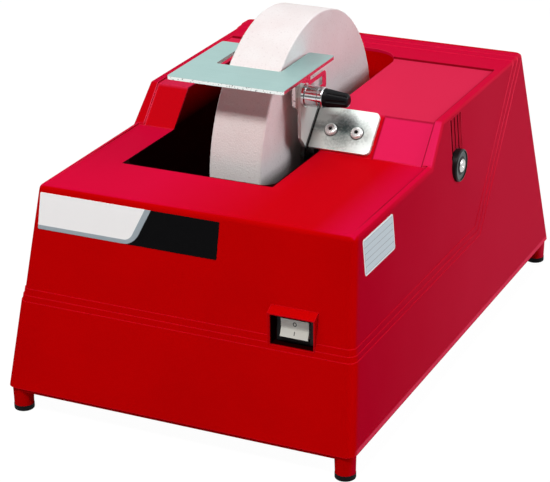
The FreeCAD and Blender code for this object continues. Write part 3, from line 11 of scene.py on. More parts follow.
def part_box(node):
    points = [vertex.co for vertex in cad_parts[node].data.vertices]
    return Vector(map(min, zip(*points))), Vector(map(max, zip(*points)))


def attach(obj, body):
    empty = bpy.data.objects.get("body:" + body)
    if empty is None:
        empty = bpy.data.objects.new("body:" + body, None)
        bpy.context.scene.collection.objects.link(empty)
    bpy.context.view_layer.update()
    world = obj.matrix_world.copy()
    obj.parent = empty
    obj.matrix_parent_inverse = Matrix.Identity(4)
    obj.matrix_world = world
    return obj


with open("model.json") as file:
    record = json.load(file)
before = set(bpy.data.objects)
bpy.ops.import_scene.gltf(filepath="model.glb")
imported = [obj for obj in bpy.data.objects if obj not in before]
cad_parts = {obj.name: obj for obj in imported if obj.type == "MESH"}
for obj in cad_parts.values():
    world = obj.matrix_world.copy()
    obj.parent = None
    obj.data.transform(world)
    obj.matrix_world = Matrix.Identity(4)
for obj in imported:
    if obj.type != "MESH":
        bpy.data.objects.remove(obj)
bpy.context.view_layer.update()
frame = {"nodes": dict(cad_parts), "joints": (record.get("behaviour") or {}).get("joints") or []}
scene = bpy.context.scene


# Studio: a table-top set with a seamless white ground, seen by a long lens from above the front right corner.
# Soft boxes hang overhead at the left, high in front and lower at the right, with a weak one behind at the
# left to fill the rear; the ground only keeps a shadow.
scene.view_settings.view_transform = "Standard"

picture_width = 550
sensor_width = 36.0
focal_pixels = 2054.224
camera_place = Vector((0.590361, -1.28373, 0.67105))
camera_yaw = 0.443
camera_pitch = -0.401
camera_roll = -0.013

ahead = Vector((-math.sin(camera_yaw) * math.cos(camera_pitch), math.cos(camera_yaw) * math.cos(camera_pitch),
                math.sin(camera_pitch)))
level_right = Vector((math.cos(camera_yaw), math.sin(camera_yaw), 0.0))
level_up = level_right.cross(ahead)
right = math.cos(camera_roll) * level_right + math.sin(camera_roll) * level_up
upward = right.cross(ahead)

lens = bpy.data.cameras.new("studio_camera")
lens.sensor_width = sensor_width
lens.sensor_fit = "HORIZONTAL"
lens.lens = focal_pixels / picture_width * sensor_width
camera = bpy.data.objects.new("studio_camera", lens)
camera.matrix_world = Matrix.Translation(camera_place) @ Matrix((right, upward, -ahead)).transposed().to_4x4()
scene.collection.objects.link(camera)
scene.camera = camera


class Shade:
    """A socket in a shader sum: each sign adds a Math node, | takes the larger, node() adds other kinds."""

    def __init__(self, tree, socket=None):
        self.tree = tree
        self.socket = socket

    def node(self, kind, settings, sockets, output=0):
        """Adds a node, makes its settings, fills or links its sockets, and gives one of its outputs."""
        made = self.tree.nodes.new("ShaderNode" + kind)
        for name, value in settings.items():
            setattr(made, name, value)
        for name, value in sockets.items():
            self.feed(made.inputs[name], value)
        return Shade(self.tree, made.outputs[output])

    def feed(self, socket, value):
        """Links a shade to a socket, or sets the socket to a plain value."""
        if isinstance(value, Shade):
            self.tree.links.new(value.socket, socket)
        else:
            socket.default_value = value

    def math(self, operation, first, second=0.0):
        return self.node("Math", {"operation": operation}, {0: first, 1: second})

    def __add__(self, other):
        return self.math("ADD", self, other)

    def __sub__(self, other):
        return self.math("SUBTRACT", self, other)

    def __rsub__(self, other):
        return self.math("SUBTRACT", other, self)

    def __mul__(self, other):
        return self.math("MULTIPLY", self, other)

    def __gt__(self, other):
        return self.math("GREATER_THAN", self, other)

    def __or__(self, other):
        return self.math("MAXIMUM", self, other)

    def __abs__(self):
        return self.math("ABSOLUTE", self)

    __radd__ = __add__
    __rmul__ = __mul__


def seen_directly(start):
    """1 for rays from the lens and for rays that metal or glass sends on, otherwise 0."""
    def ray(name):
        return start.node("LightPath", {}, {}, name)
    rays = ray("Is Camera Ray") + ray("Is Glossy Ray") + ray("Is Transmission Ray")
    return start.math("MINIMUM", rays, 1.0)


ambient = (0.95, 0.97, 1.0, 1.0)
ambient_strength = 0.07
white = (1.0, 1.0, 1.0, 1.0)
room_level = 0.2
room_turn = -0.55
sweep_turn = 0.05
world = bpy.data.worlds.new("studio")
world.use_nodes = True
sky = Shade(world.node_tree)
soft_light = sky.node("Background", {}, {"Color": ambient, "Strength": ambient_strength})
rearward = sky.node("SeparateXYZ", {}, {0: sky.node("TexCoord", {}, {}, "Generated")}, "Y")
sweep = sky.node("MapRange", {"clamp": True},
                 {"Value": rearward, "From Min": room_turn, "From Max": sweep_turn})
in_metal = sweep * (1.0 - room_level) + room_level
not_metal = 1.0 - sky.node("LightPath", {}, {}, "Is Glossy Ray")
backdrop = sky.node("Background", {}, {"Color": white, "Strength": sky.math("MAXIMUM", not_metal, in_metal)})
surround = sky.node("MixShader", {}, {0: seen_directly(sky), 1: soft_light, 2: backdrop})
sky.feed(world.node_tree.nodes["World Output"].inputs["Surface"], surround)
scene.world = world

ground_half = 6.0
ground_colour = (0.5, 0.5, 0.5, 1.0)
ground_white_share = 0.86
ground_glow = 1.13
ground_mesh = bpy.data.meshes.new("ground")
ground_mesh.from_pydata([(-ground_half, -ground_half, 0), (ground_half, -ground_half, 0),
                         (ground_half, ground_half, 0), (-ground_half, ground_half, 0)], [], [(0, 1, 2, 3)])
ground = bpy.data.objects.new("ground", ground_mesh)
scene.collection.objects.link(ground)
ground_paint = bpy.data.materials.new("ground_paint")
ground_paint.use_nodes = True
paint = Shade(ground_paint.node_tree)
matt = paint.node("BsdfDiffuse", {}, {"Color": ground_colour})
glow = paint.node("Emission", {}, {"Color": white, "Strength": ground_glow})
ground_mix = paint.node("MixShader", {}, {0: seen_directly(paint) * ground_white_share, 1: matt, 2: glow})
paint.feed(ground_paint.node_tree.nodes["Material Output"].inputs["Surface"], ground_mix)
ground_mesh.materials.append(ground_paint)


machine_middle = Vector((0.0, 0.0, 0.12))


def soft_box(name, place, width, watts, colour):
    """A square lamp at a place, turned to look at the machine's middle."""
    lamp = bpy.data.lights.new(name, "AREA")
    lamp.size = width
    lamp.energy = watts
    lamp.color = colour
    holder = bpy.data.objects.new(name, lamp)
    turn = (machine_middle - Vector(place)).to_track_quat("-Z", "Y")
    holder.matrix_world = Matrix.Translation(place) @ turn.to_matrix().to_4x4()
    scene.collection.objects.link(holder)


soft_box("overhead_box", place=(-0.4, -0.45, 1.7), width=0.9, watts=8.5, colour=(0.97, 0.96, 1.0))
soft_box("front_box", place=(0.1, -1.2, 1.81), width=0.36, watts=26.0, colour=(1.0, 0.97, 0.95))
soft_box("right_box", place=(1.9, 0.5, 1.0), width=0.9, watts=22.0, colour=(0.97, 0.95, 1.0))
soft_box("rear_box", place=(-1.9, 0.8, 0.6), width=0.9, watts=8.0, colour=(1.0, 0.98, 0.97))


# Foot pads: four round pads of black rubber, each pressed by its peg into one of the casing's legs.
# The rubber is matt and slightly dusty where it has stood on a bench.
def new_finish(name, colour, roughness, **constants):
    """A material with constant values on its shader; gives the material, its shader and a first shade."""
    material = bpy.data.materials.new(name)
    material.use_nodes = True
    shader = material.node_tree.nodes["Principled BSDF"]
    shader.inputs["Base Color"].default_value = (*colour, 1.0)
    shader.inputs["Roughness"].default_value = roughness
    for socket, value in constants.items():
        shader.inputs[socket.replace("_", " ")].default_value = value
    return material, shader, Shade(material.node_tree)


def place(start):
    """The point on the piece, in metres of the machine's own frame."""
    return start.node("TexCoord", {}, {}, "Object")


def noise(start, size, detail=3.0, stretch=(1.0, 1.0, 1.0)):
    """Cloudy pattern from 0 to 1 whose patches are about size across, drawn out along the stretch."""
    where = start.node("Mapping", {}, {"Vector": place(start), "Scale": stretch})
    return start.node("TexNoise", {}, {"Vector": where, "Scale": 1.0 / size, "Detail": detail})


def blend(start, share, first, second):
    """Colour that goes from the first to the second as the share goes from 0 to 1."""
    return start.node("Mix", {"data_type": "RGBA"}, {0: share, 6: first, 7: second}, 2)


def ramp(start, share, low, high):
    """0 below low, 1 above high, and an even slope between."""
    sockets = {"Value": share, "From Min": low, "From Max": high}
    return start.node("MapRange", {"clamp": True}, sockets)


def bump(start, shader, height, depth):
    """Lets a height pattern from 0 to 1 stand up by depth."""
    normal = start.node("Bump", {}, {"Height": height, "Distance": depth, "Strength": 1.0})
    start.feed(shader.inputs["Normal"], normal)


def solid(colour):
    """The colour as a node takes it, with nothing showing through."""
    return (*colour, 1.0)


def gloss(start, shader, pattern, smooth, rough):
    """Lets the roughness go from smooth to rough as a pattern goes from 0 to 1."""
    start.feed(shader.inputs["Roughness"], pattern * (rough - smooth) + smooth)


def moulded(name, colour, second, roughness, grain, depth, **constants):
    """Moulded plastic or rubber: faint clouds between two near colours, and a fine grain in the surface."""
    grain_gloss = 0.06
    material, shader, start = new_finish(name, colour, roughness, **constants)
    clouds = ramp(start, noise(start, size=0.03, detail=4.0), low=0.35, high=0.7)
    start.feed(shader.inputs["Base Color"], blend(start, clouds, solid(colour), solid(second)))
    fine = noise(start, grain, detail=2.0)
    gloss(start, shader, fine, smooth=roughness - grain_gloss, rough=roughness + grain_gloss)
    bump(start, shader, fine, depth)
    return material


def dress(material, *names):
    """Gives CAD nodes their finish through their own material slots."""
    for name in names:
        node = frame["nodes"][name]
        if not node.material_slots:
            node.data.materials.append(material)
        for slot in node.material_slots:
            slot.material = material


rubber = moulded("black_rubber", colour=(0.004, 0.004, 0.0045), second=(0.009, 0.009, 0.0095),
                 roughness=0.7, grain=0.0008, depth=0.00006, Specular_IOR_Level=0.1)
dress(rubber, "foot_pads")


# Base plate: a sheet steel cover with vent slots, stove-painted grey, held by pan head screws from below.
# The paint has the slight orange peel of a dipped coat.
def painted(name, colour, second, roughness, peel, depth):
    """Stoved paint: two near greys in clouds and the low waves of orange peel."""
    material, shader, start = new_finish(name, colour, roughness, Coat_Weight=0.2)
    clouds = noise(start, size=0.05, detail=5.0)
    start.feed(shader.inputs["Base Color"], blend(start, clouds, solid(colour), solid(second)))
    bump(start, shader, noise(start, peel, detail=1.0), depth)
    return material


grey_paint = painted("grey_paint", colour=(0.24, 0.25, 0.26), second=(0.32, 0.33, 0.34), roughness=0.42,
                     peel=0.0015, depth=0.00005)
dress(grey_paint, "base_plate")


def plated(name, bright, dull, smooth, rough, patch, brush=(1.0, 1.0, 1.0)):
    """Bare or plated metal: patches between a bright and a dull tone, which are also smoother and rougher."""
    line_size = 0.12 * patch
    line_gloss = 0.05
    line_depth = 0.000012
    material, shader, start = new_finish(name, bright, rough, Metallic=1.0)
    patches = ramp(start, noise(start, patch, detail=5.0), low=0.35, high=0.68)
    start.feed(shader.inputs["Base Color"], blend(start, patches, solid(bright), solid(dull)))
    lines = noise(start, line_size, detail=2.0, stretch=brush)
    roughness = patches * (rough - smooth) + lines * (2 * line_gloss) + (smooth - line_gloss)
    start.feed(shader.inputs["Roughness"], roughness)
    bump(start, shader, lines, line_depth)
    return material


screw_zinc = plated("screw_zinc", bright=(0.66, 0.68, 0.66), dull=(0.46, 0.5, 0.5), smooth=0.25, rough=0.42,
                    patch=0.003)
dress(screw_zinc, "base_screws", "trough_screws", "cradle_screws", "gearbox_screws", "motor_tie_bolts")


# Drive: motor, worm and gearbox on a folded steel cradle inside the casing.
# Cast shields and housing, bronze bushes and worm wheel, ground steel shafts and bearings.
def cast(name, colour, second, roughness, grain):
    """Pressure-cast metal: grainy skin with broad light and dark flow patches."""
    skin_gloss = 0.1
    skin_depth = 0.00015
    material, shader, start = new_finish(name, colour, roughness, Metallic=1.0)
    flow = noise(start, size=0.02, detail=4.0)
    start.feed(shader.inputs["Base Color"], blend(start, flow, solid(colour), solid(second)))
    skin = noise(start, grain)
    gloss(start, shader, skin, smooth=roughness - skin_gloss, rough=roughness + skin_gloss)
    bump(start, shader, skin, skin_depth)
    return material


sheet_zinc = plated("sheet_zinc", bright=(0.6, 0.64, 0.63), dull=(0.4, 0.45, 0.45), smooth=0.3, rough=0.5,
                    patch=0.012)
dress(sheet_zinc, "drive_cradle", "capacitor_clip")
cast_aluminium = cast("cast_aluminium", colour=(0.6, 0.61, 0.62), second=(0.45, 0.46, 0.47), roughness=0.5,
                      grain=0.0012)
dress(cast_aluminium, "gearbox_housing", "gearbox_cover", "motor_front_shield", "motor_rear_shield")
bronze = plated("turned_bronze", bright=(0.68, 0.46, 0.2), dull=(0.5, 0.32, 0.13), smooth=0.22, rough=0.38,
                patch=0.004, brush=(6.0, 1.0, 1.0))
dress(bronze, "worm_wheel", "worm_bush", "axle_bush_left", "axle_bush_right", "switch_terminals")
ground_steel = plated("ground_steel", bright=(0.6, 0.6, 0.59), dull=(0.45, 0.45, 0.45), smooth=0.16,
                      rough=0.32, patch=0.005, brush=(8.0, 1.0, 1.0))
dress(ground_steel, "worm_shaft", "worm_wheel_key", "front_bearing", "rear_bearing")


def reading(start, axis):
    """How far the point lies along one axis of the machine."""
    return start.node("SeparateXYZ", {}, {0: place(start)}, axis)


def stacked(name, colour, edge, pitch):
    """Stacked steel sheet: thin dark joints every pitch along the shaft."""
    sheet_share = 0.8
    joint_depth = 0.00008
    material, shader, start = new_finish(name, colour, roughness=0.45, Metallic=0.9)
    layer = start.math("FRACT", reading(start, "Y") * (1.0 / pitch))
    joint = layer > sheet_share
    start.feed(shader.inputs["Base Color"], blend(start, joint, solid(colour), solid(edge)))
    bump(start, shader, 1.0 - joint, joint_depth)
    return material


core_sheet = stacked("core_sheet", colour=(0.25, 0.25, 0.26), edge=(0.09, 0.09, 0.1), pitch=0.0005)
dress(core_sheet, "stator_core", "rotor_core")


def wound(name, colour, gap, turn):
    """Enamelled wire: round turns side by side, with dark lines between them."""
    waver = 1.2
    wire_depth = 0.0003
    material, shader, start = new_finish(name, colour, roughness=0.28, Metallic=0.7, Coat_Weight=0.6)
    sockets = {"Vector": place(start), "Scale": 1.0 / turn, "Distortion": waver}
    turns = start.node("TexWave", {"wave_type": "RINGS", "rings_direction": "Y"}, sockets, "Fac")
    wires = blend(start, ramp(start, turns, low=0.05, high=0.4), solid(gap), solid(colour))
    start.feed(shader.inputs["Base Color"], wires)
    bump(start, shader, turns, wire_depth)
    return material


copper = wound("enamelled_copper", colour=(0.55, 0.22, 0.08), gap=(0.12, 0.04, 0.015), turn=0.004)
dress(copper, "stator_windings")
black_nylon = moulded("black_nylon", colour=(0.012, 0.012, 0.013), second=(0.02, 0.02, 0.021), roughness=0.45,
                      grain=0.0007, depth=0.00005, Specular_IOR_Level=0.15)
dress(black_nylon, "cooling_fan", "cable_gland", "gland_nut", "switch_body")


# Capacitor, terminal block and leads: bought-in electrical parts on the base plate.
# Pale moulded cases; the two leads are covered in brown and blue plastic.
pale_case = moulded("pale_case", colour=(0.62, 0.62, 0.6), second=(0.54, 0.54, 0.52), roughness=0.5,
                    grain=0.001, depth=0.00004)
dress(pale_case, "capacitor", "terminal_block")

lead_brown = (0.14, 0.05, 0.02)
lead_blue = (0.02, 0.09, 0.35)
loom_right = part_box("wiring_loom")[1].x
blue_run_width = 0.00385
lead_cover, lead_shader, lead_start = new_finish("lead_cover", lead_brown, roughness=0.4)
outer_run = reading(lead_start, "X") > loom_right - blue_run_width
lead_colour = blend(lead_start, outer_run, solid(lead_brown), solid(lead_blue))
lead_start.feed(lead_shader.inputs["Base Color"], lead_colour)
bump(lead_start, lead_shader, noise(lead_start, size=0.002), depth=0.00003)
dress(lead_cover, "wiring_loom")


# Water trough: a tub under the wheel well, moulded in the same plastic as the casing; its near black red is
# painted shade.
# Its inside has a dull film of grit and lime from the grinding water.
trough_shade_colour = (0.03, 0.0008, 0.0012)
film_colour = (0.06, 0.03, 0.028)
film_high = 0.08
film_full = 0.05
trough_plastic, trough_shader, trough_start = new_finish("trough_plastic", trough_shade_colour, roughness=0.5)
film = ramp(trough_start, noise(trough_start, size=0.02, detail=6.0), low=0.45, high=0.75)
film = film * ramp(trough_start, reading(trough_start, "Z"), film_high, film_full)
trough_finish = blend(trough_start, film, solid(trough_shade_colour), solid(film_colour))
trough_start.feed(trough_shader.inputs["Base Color"], trough_finish)
gloss(trough_start, trough_shader, film, smooth=0.4, rough=0.75)
bump(trough_start, trough_shader, noise(trough_start, size=0.001), depth=0.00004)
dress(trough_plastic, "water_trough")


# Casing: one deep moulding in red gloss plastic, with a sunk panel in its decks and a stepped band round it.
# The skin has a fine spark-eroded grain and faint flow clouds. Its decks, step and sides carry painted sheen,
# its edges painted highlights, and its well, switch recess, flutes and panel edges painted shade.
casing_red = (0.56, 0.0005, 0.001)
casing_deep_red = (0.52, 0.0005, 0.001)
deck_sheen_red = (0.70, 0.0215, 0.0755)
border_sheen_red = (0.63, 0.003, 0.038)
shaded_deck_red = (0.565, 0.001, 0.004)
step_sheen_red = (0.77, 0.015, 0.098)
pale_highlight_red = (0.86, 0.06, 0.13)
band_highlight_red = (0.72, 0.01, 0.03)
dim_near_side_red = (0.50, 0.0006, 0.018)
sheen_far_side_red = (0.59, 0.0128, 0.043)
hollow_shade_red = (0.012, 0.0003, 0.0005)
shade_line_red = (0.2, 0.0005, 0.002)
casing_plastic, casing_shader, casing_start = new_finish("red_gloss_plastic", casing_red, roughness=0.36,
                                                         Specular_IOR_Level=0.001)
casing_x = reading(casing_start, "X")
casing_y = reading(casing_start, "Y")
casing_z = reading(casing_start, "Z")
from_middle = abs(casing_x)
right_half = casing_x > 0.0

# Decks: the upper faces inside the leaning walls, a lower and an upper deck joined by a sloped step.
casing_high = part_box("main_casing")[1]
wall_half_width = casing_high.x
wall_half_depth = casing_high.y
wall_foot = 0.0188
side_lean = 0.081
front_lean = 0.241
rear_lean = 0.253
band_inset = 0.00165
sheen_start = 0.001
sheen_full = 0.0018
deck_depth = 0.0024
lower_deck = 0.1596
upper_deck = 0.1845
step_foot = -0.0308
step_head = -0.0066
step_soft = 0.001
rise = casing_z - wall_foot
behind_front = casing_y - front_lean * rise + (wall_half_depth - band_inset)
before_rear = wall_half_depth - band_inset - casing_y - rear_lean * rise
inside_wall = wall_half_width - band_inset - side_lean * rise - from_middle
inside = casing_start.math("MINIMUM", casing_start.math("MINIMUM", behind_front, before_rear), inside_wall)
deck_level = ramp(casing_start, casing_y, step_foot, step_head) * (upper_deck - lower_deck) + lower_deck
on_decks = ramp(casing_start, inside, sheen_start, sheen_full) * (casing_z > deck_level - deck_depth)
behind_step = casing_y > step_foot
on_step = ramp(casing_start, casing_y, step_foot - step_soft, step_foot + step_soft)
on_step = on_step * ramp(casing_start, casing_y, step_head + step_soft, step_head - step_soft)

# Painted shade: before the step, on the step's left half and at the bracket's seat the deck is painted a
# deeper red.
shade_left = (-0.045, 0.045)
shade_right = (0.108, 0.086)
deck_shade_share = 0.95
seat_edge = 0.0722
shade_before_step = ramp(casing_start, casing_x, *shade_left) * ramp(casing_start, casing_x, *shade_right)
shade_before_step = shade_before_step * (step_foot + step_soft - casing_y > 0.0)
shade_at_seat = on_step * right_half * (seat_edge - casing_x > 0.0)
deck_shade_mask = shade_before_step | (on_step * (1.0 - right_half)) | shade_at_seat

# Painted shade: the well's walls are painted near black towards the bottom and front, and so is the recess
# behind the switch.
trough_low, trough_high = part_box("water_trough")
trough_overlap = 0.0043
well_left = trough_low.x + trough_overlap
well_right = trough_high.x - trough_overlap
well_front = trough_low.y + trough_overlap
well_lit_y = 0.1
well_shaded_y = 0.06
shade_low_z = 0.16
shade_high_z = 0.198
across_well = (casing_x > well_left) * (well_right - casing_x > 0.0)
along_well = (casing_y > well_front) * ramp(casing_start, casing_y, well_lit_y, well_shaded_y)
shaded_well = across_well * along_well * ramp(casing_start, casing_z, shade_high_z, shade_low_z)

switch_low, switch_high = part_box("switch_body")
recess_gap_aside = 0.0017
recess_gap_above = 0.0006
recess_front = -0.1878
recess_shaded_y = -0.1862
recess_back = -0.16
recess_middle = (switch_low + switch_high) / 2
recess_half = (switch_high - switch_low) / 2
shaded_recess = recess_half.x + recess_gap_aside - abs(casing_x - recess_middle.x) > 0.0
shaded_recess = shaded_recess * (recess_half.z + recess_gap_above - abs(casing_z - recess_middle.z) > 0.0)
shaded_recess = shaded_recess * ramp(casing_start, casing_y, recess_front, recess_shaded_y)
shaded_recess = shaded_recess * (recess_back - casing_y > 0.0)
hollow_shade_mask = shaded_well | shaded_recess

# Painted shade lines: dark red along the sunk panel's edges, in the flutes above the side bush and along the
# bracket's seat.
panel_edge = 0.1097
lower_panel_edge = 0.1137
panel_rear = 0.1176
panel_start = -0.160
panel_full = -0.110
thin_line_soft = 0.0002
thin_line_wide = 0.0009


def thin_line_mask(where, line):
    """1 on a thin line across the casing, fading to 0 a millimetre from it."""
    return ramp(casing_start, abs(where - line), thin_line_wide, thin_line_soft)


upper_shade_line = thin_line_mask(casing_x, panel_edge) * behind_step * (panel_rear - casing_y > 0.0)
lower_shade_line = thin_line_mask(casing_x, lower_panel_edge) * (1.0 - behind_step)
lower_shade_line = lower_shade_line * ramp(casing_start, casing_y, panel_start, panel_full)
rear_shade_line = thin_line_mask(casing_y, panel_rear) * (panel_edge - from_middle > 0.0)
panel_shade_lines = (upper_shade_line | lower_shade_line | rear_shade_line) * on_decks

pivots = {joint["name"]: joint.get("pos_m") for joint in frame["joints"]}
axle_y, axle_z = pivots["wheel_spin"][1:]
flute_reach = 0.0125
flute_low = 0.15
flute_high = 0.1818
flute_shallow = 0.0009
flute_deep = 0.0016
flute_shade = flute_reach - abs(casing_y - axle_y) > 0.0
flute_shade = flute_shade * (casing_z > flute_low) * (flute_high - casing_z > 0.0) * right_half
flute_shade = flute_shade * ramp(casing_start, inside_wall, flute_shallow, flute_deep)

seat_shade_share = 0.55
slope_top_shade = thin_line_mask(casing_y, step_head) * (casing_x > seat_edge)
seat_shade_line = (thin_line_mask(casing_x, seat_edge) * on_step) | slope_top_shade
seat_shade_line = seat_shade_line * (panel_edge - casing_x > 0.0) * on_decks * seat_shade_share
painted_shade_lines = panel_shade_lines | flute_shade | seat_shade_line

# Painted highlights: the edges are painted pale, and so are the panel's left wall on the step and the foot of
# the sides.
edge_round = 0.0011
edge_samples = 6
edge_low = 0.03
edge_high = 0.2
edge_highlight_share = 0.5
panel_wall = -0.11
wall_highlight_share = 0.8
rounded = casing_start.node("Bevel", {"samples": edge_samples}, {"Radius": edge_round})
sharp = casing_start.node("NewGeometry", {}, {}, "True Normal")
along_edge = casing_start.node("VectorMath", {"operation": "DOT_PRODUCT"}, {0: rounded, 1: sharp}, "Value")
edge_highlights = ramp(casing_start, 1.0 - along_edge, edge_low, edge_high) * edge_highlight_share
edge_highlights = edge_highlights | (thin_line_mask(casing_x, panel_wall) * on_step * wall_highlight_share)

side_deep = 0.004
side_skin = 0.0008
corner_start = 0.003
corner_end = 0.008
foot_glint_top = 0.0226
foot_glint_full = 0.0214
foot_highlight_share = 0.7
on_sides = ramp(casing_start, inside_wall, side_deep, side_skin)
on_sides = on_sides * ramp(casing_start, behind_front, corner_start, corner_end)
foot_highlight_mask = on_sides * ramp(casing_start, casing_z, foot_glint_top, foot_glint_full) * (rise > 0.0)

# Skin: walls, sides and decks each have their red, and wear, grime and stain lie over them in that order.
side_front = -0.17
side_rear = 0.08
side_waver = 0.04
band_top = 0.11
deck_foot = 0.14
flow_clouds = ramp(casing_start, noise(casing_start, size=0.06, detail=5.0), low=0.35, high=0.7)
wavering_y = casing_y + (flow_clouds - 0.5) * side_waver
# Painted sheen: the sides are painted deep red near the front and pinker towards the rear.
sheen_along_side = ramp(casing_start, wavering_y, side_front, side_rear)
side_sheen_blend = blend(casing_start, sheen_along_side, solid(dim_near_side_red), solid(sheen_far_side_red))
wall_red = blend(casing_start, flow_clouds, solid(casing_red), solid(casing_deep_red))
wall_red = blend(casing_start, on_sides, wall_red, side_sheen_blend)
in_panel = behind_step * (panel_rear - casing_y > 0.0) * (panel_edge - from_middle > 0.0)
# Painted sheen: the decks are painted pinker than the walls, the panel more than its border strips.
deck_red = blend(casing_start, in_panel, solid(border_sheen_red), solid(deck_sheen_red))
# Painted sheen: the step's right half is painted pinker still.
deck_red = blend(casing_start, on_step * right_half, deck_red, solid(step_sheen_red))
# Painted shade: these patches of deck are painted a deeper red, without the painted sheen.
deck_red = blend(casing_start, deck_shade_mask * deck_shade_share, deck_red, solid(shaded_deck_red))
# Painted highlights: paler red on the edges of the band below, pinker red on the edges above.
up_wall = ramp(casing_start, casing_z, band_top, deck_foot)
edge_highlight_red = blend(casing_start, up_wall, solid(band_highlight_red), solid(pale_highlight_red))
casing_skin = blend(casing_start, on_decks, wall_red, deck_red)
casing_skin = blend(casing_start, edge_highlights, casing_skin, edge_highlight_red)
casing_skin = blend(casing_start, foot_highlight_mask * foot_highlight_share, casing_skin, solid(pale_highlight_red))
# Painted shade lines lie over the skin in dark red.
casing_skin = blend(casing_start, painted_shade_lines, casing_skin, solid(shade_line_red))
# Painted shade: the well and the switch recess go near black.
casing_skin = blend(casing_start, hollow_shade_mask, casing_skin, solid(hollow_shade_red))
casing_start.feed(casing_shader.inputs["Base Color"], casing_skin)

casing_smoothest = 0.27
polish_share = 0.14
grain_share = 0.06
polish = noise(casing_start, size=0.04)
spark_grain = noise(casing_start, size=0.0006, detail=2.0)
casing_roughness = polish * polish_share + spark_grain * grain_share + casing_smoothest
casing_start.feed(casing_shader.inputs["Roughness"], casing_roughness)
bump(casing_start, casing_shader, spark_grain, depth=0.00002)
dress(casing_plastic, "main_casing")


# Front plate: a thin printed plate stuck high on the front wall, white at the left and black at the right.
# A slanted grey rule parts the two fields and runs on below the white one.
def front_wall(z):
    """Y of the front wall above the band: a straight line that leans back with height."""
    return band_inset - wall_half_depth + front_lean * (z - wall_foot)


def rounded_outline(half_width, half_height, radius, per_corner):
    """Rounded rectangle as two arrays: quarter circles of one radius about the four inner corners."""
    turn = (np.arange(4 * per_corner) // per_corner) * math.pi / 2
    angle = turn + np.tile(np.linspace(0.0, math.pi / 2, per_corner), 4)
    corner_x = (half_width - radius) * np.sign(np.cos(turn + math.pi / 4))
    corner_y = (half_height - radius) * np.sign(np.sin(turn + math.pi / 4))
    return corner_x + radius * np.cos(angle), corner_y + radius * np.sin(angle)


def between_rows(count, low, high):
    """Quads between two closed rows of count points, which start at the low and the high number."""
    step = np.arange(count)
    after = (step + 1) % count
    return np.stack([step + low, after + low, after + high, step + high], axis=1)


def seated(name, flat, faces, origin, across, up):
    """A piece whose flat points are measured across, up and outwards from an origin on its wall."""
    points = np.array(origin) + flat @ np.array([across, up, np.cross(across, up)])
    mesh = bpy.data.meshes.new(name)
    mesh.from_pydata(points.tolist(), [], faces)
    piece = bpy.data.objects.new(name, mesh)
    scene.collection.objects.link(piece)
    return piece


def plate_mesh(name, half_width, half_height, radius, thickness, origin, across, up):
    """A rounded outline carried through foot, edge, softened rim and face; a middle point closes each end."""
    per_corner = 8
    count = 4 * per_corner
    soft = 0.4 * thickness
    rim = 0.3 * soft
    levels = [(0.0, -thickness), (0.0, thickness - soft), (rim, thickness - rim), (soft, thickness)]
    rows = [np.stack([*rounded_outline(half_width - inset, half_height - inset, radius, per_corner),
                      np.full(count, height)], axis=1) for inset, height in levels]
    middles = np.array([[0.0, 0.0, -thickness], [0.0, 0.0, thickness]])
    last_row = (len(levels) - 1) * count
    foot_middle = len(levels) * count
    sides = [between_rows(count, low, low + count) for low in range(0, last_row, count)]
    faces = np.concatenate(sides).tolist()
    for first, middle, turn in ((0, foot_middle, -1), (last_row, foot_middle + 1, 1)):
        row = np.arange(count) + first
        after = np.roll(row, -1)
        faces += np.stack([*(row, after)[::turn], np.full(count, middle)], axis=1).tolist()
    return seated(name, np.concatenate(rows + [middles]), faces, origin, across, up)


plate_left = -0.1155
plate_right = 0.0215
plate_low = 0.130
plate_high = 0.1548
plate_middle_z = (plate_low + plate_high) / 2
plate_middle = ((plate_left + plate_right) / 2, front_wall(plate_middle_z), plate_middle_z)
sideways = np.array([1.0, 0.0, 0.0])
front_stretch = math.hypot(front_lean, 1.0)
front_slope = np.array([0.0, front_lean, 1.0]) / front_stretch
front_plate = plate_mesh("front_plate", half_width=(plate_right - plate_left) / 2,
                         half_height=(plate_high - plate_low) / 2 * front_stretch, radius=0.0008,
                         thickness=0.0003, origin=plate_middle, across=sideways, up=front_slope)

plate_white = (0.97, 0.97, 0.97)
plate_grey = (0.36, 0.42, 0.46)
plate_black = (0.004, 0.004, 0.0045)
divider_low = -0.0455
divider_lean = 0.45
divider_width = 0.0045
lower_rule = 0.0028
field_round = 0.004
rule_round = 0.0075
print_soft = 0.0002
plate_print, plate_shader, plate_start = new_finish("plate_print", plate_white, roughness=0.28,
                                                    Specular_IOR_Level=0.04)


def in_corner(start, aside, above, radius):
    """How deep a point lies inside two edges whose corner is rounded to the radius; below 0 it is outside."""
    short_aside = (radius - aside) | 0.0
    short_above = (radius - above) | 0.0
    return radius - start.math("SQRT", short_aside * short_aside + short_above * short_above)


over_foot = reading(plate_start, "Z") - plate_low
left_of_rule = divider_lean * over_foot + divider_low - reading(plate_start, "X")
in_white = in_corner(plate_start, left_of_rule, over_foot - lower_rule, field_round)
in_grey = in_corner(plate_start, left_of_rule + divider_width, over_foot, rule_round)
grey_share = ramp(plate_start, in_white, print_soft, -print_soft)
black_share = ramp(plate_start, in_grey, print_soft, -print_soft)
plate_field = blend(plate_start, grey_share, solid(plate_white), solid(plate_grey))
plate_field = blend(plate_start, black_share, plate_field, solid(plate_black))
plate_start.feed(plate_shader.inputs["Base Color"], plate_field)
gloss(plate_start, plate_shader, noise(plate_start, size=0.01), smooth=0.2, rough=0.35)
front_plate.data.materials.append(plate_print)
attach(front_plate, "machine")


# Side plate: a bare foil plate on the right wall, pale grey with a thin dark frame and empty ruled fields.
# It is stuck on by its back like the front plate.
def right_wall(z):
    """X of the right wall above the band: a straight line that leans in with height."""
    return wall_half_width - band_inset - side_lean * (z - wall_foot)


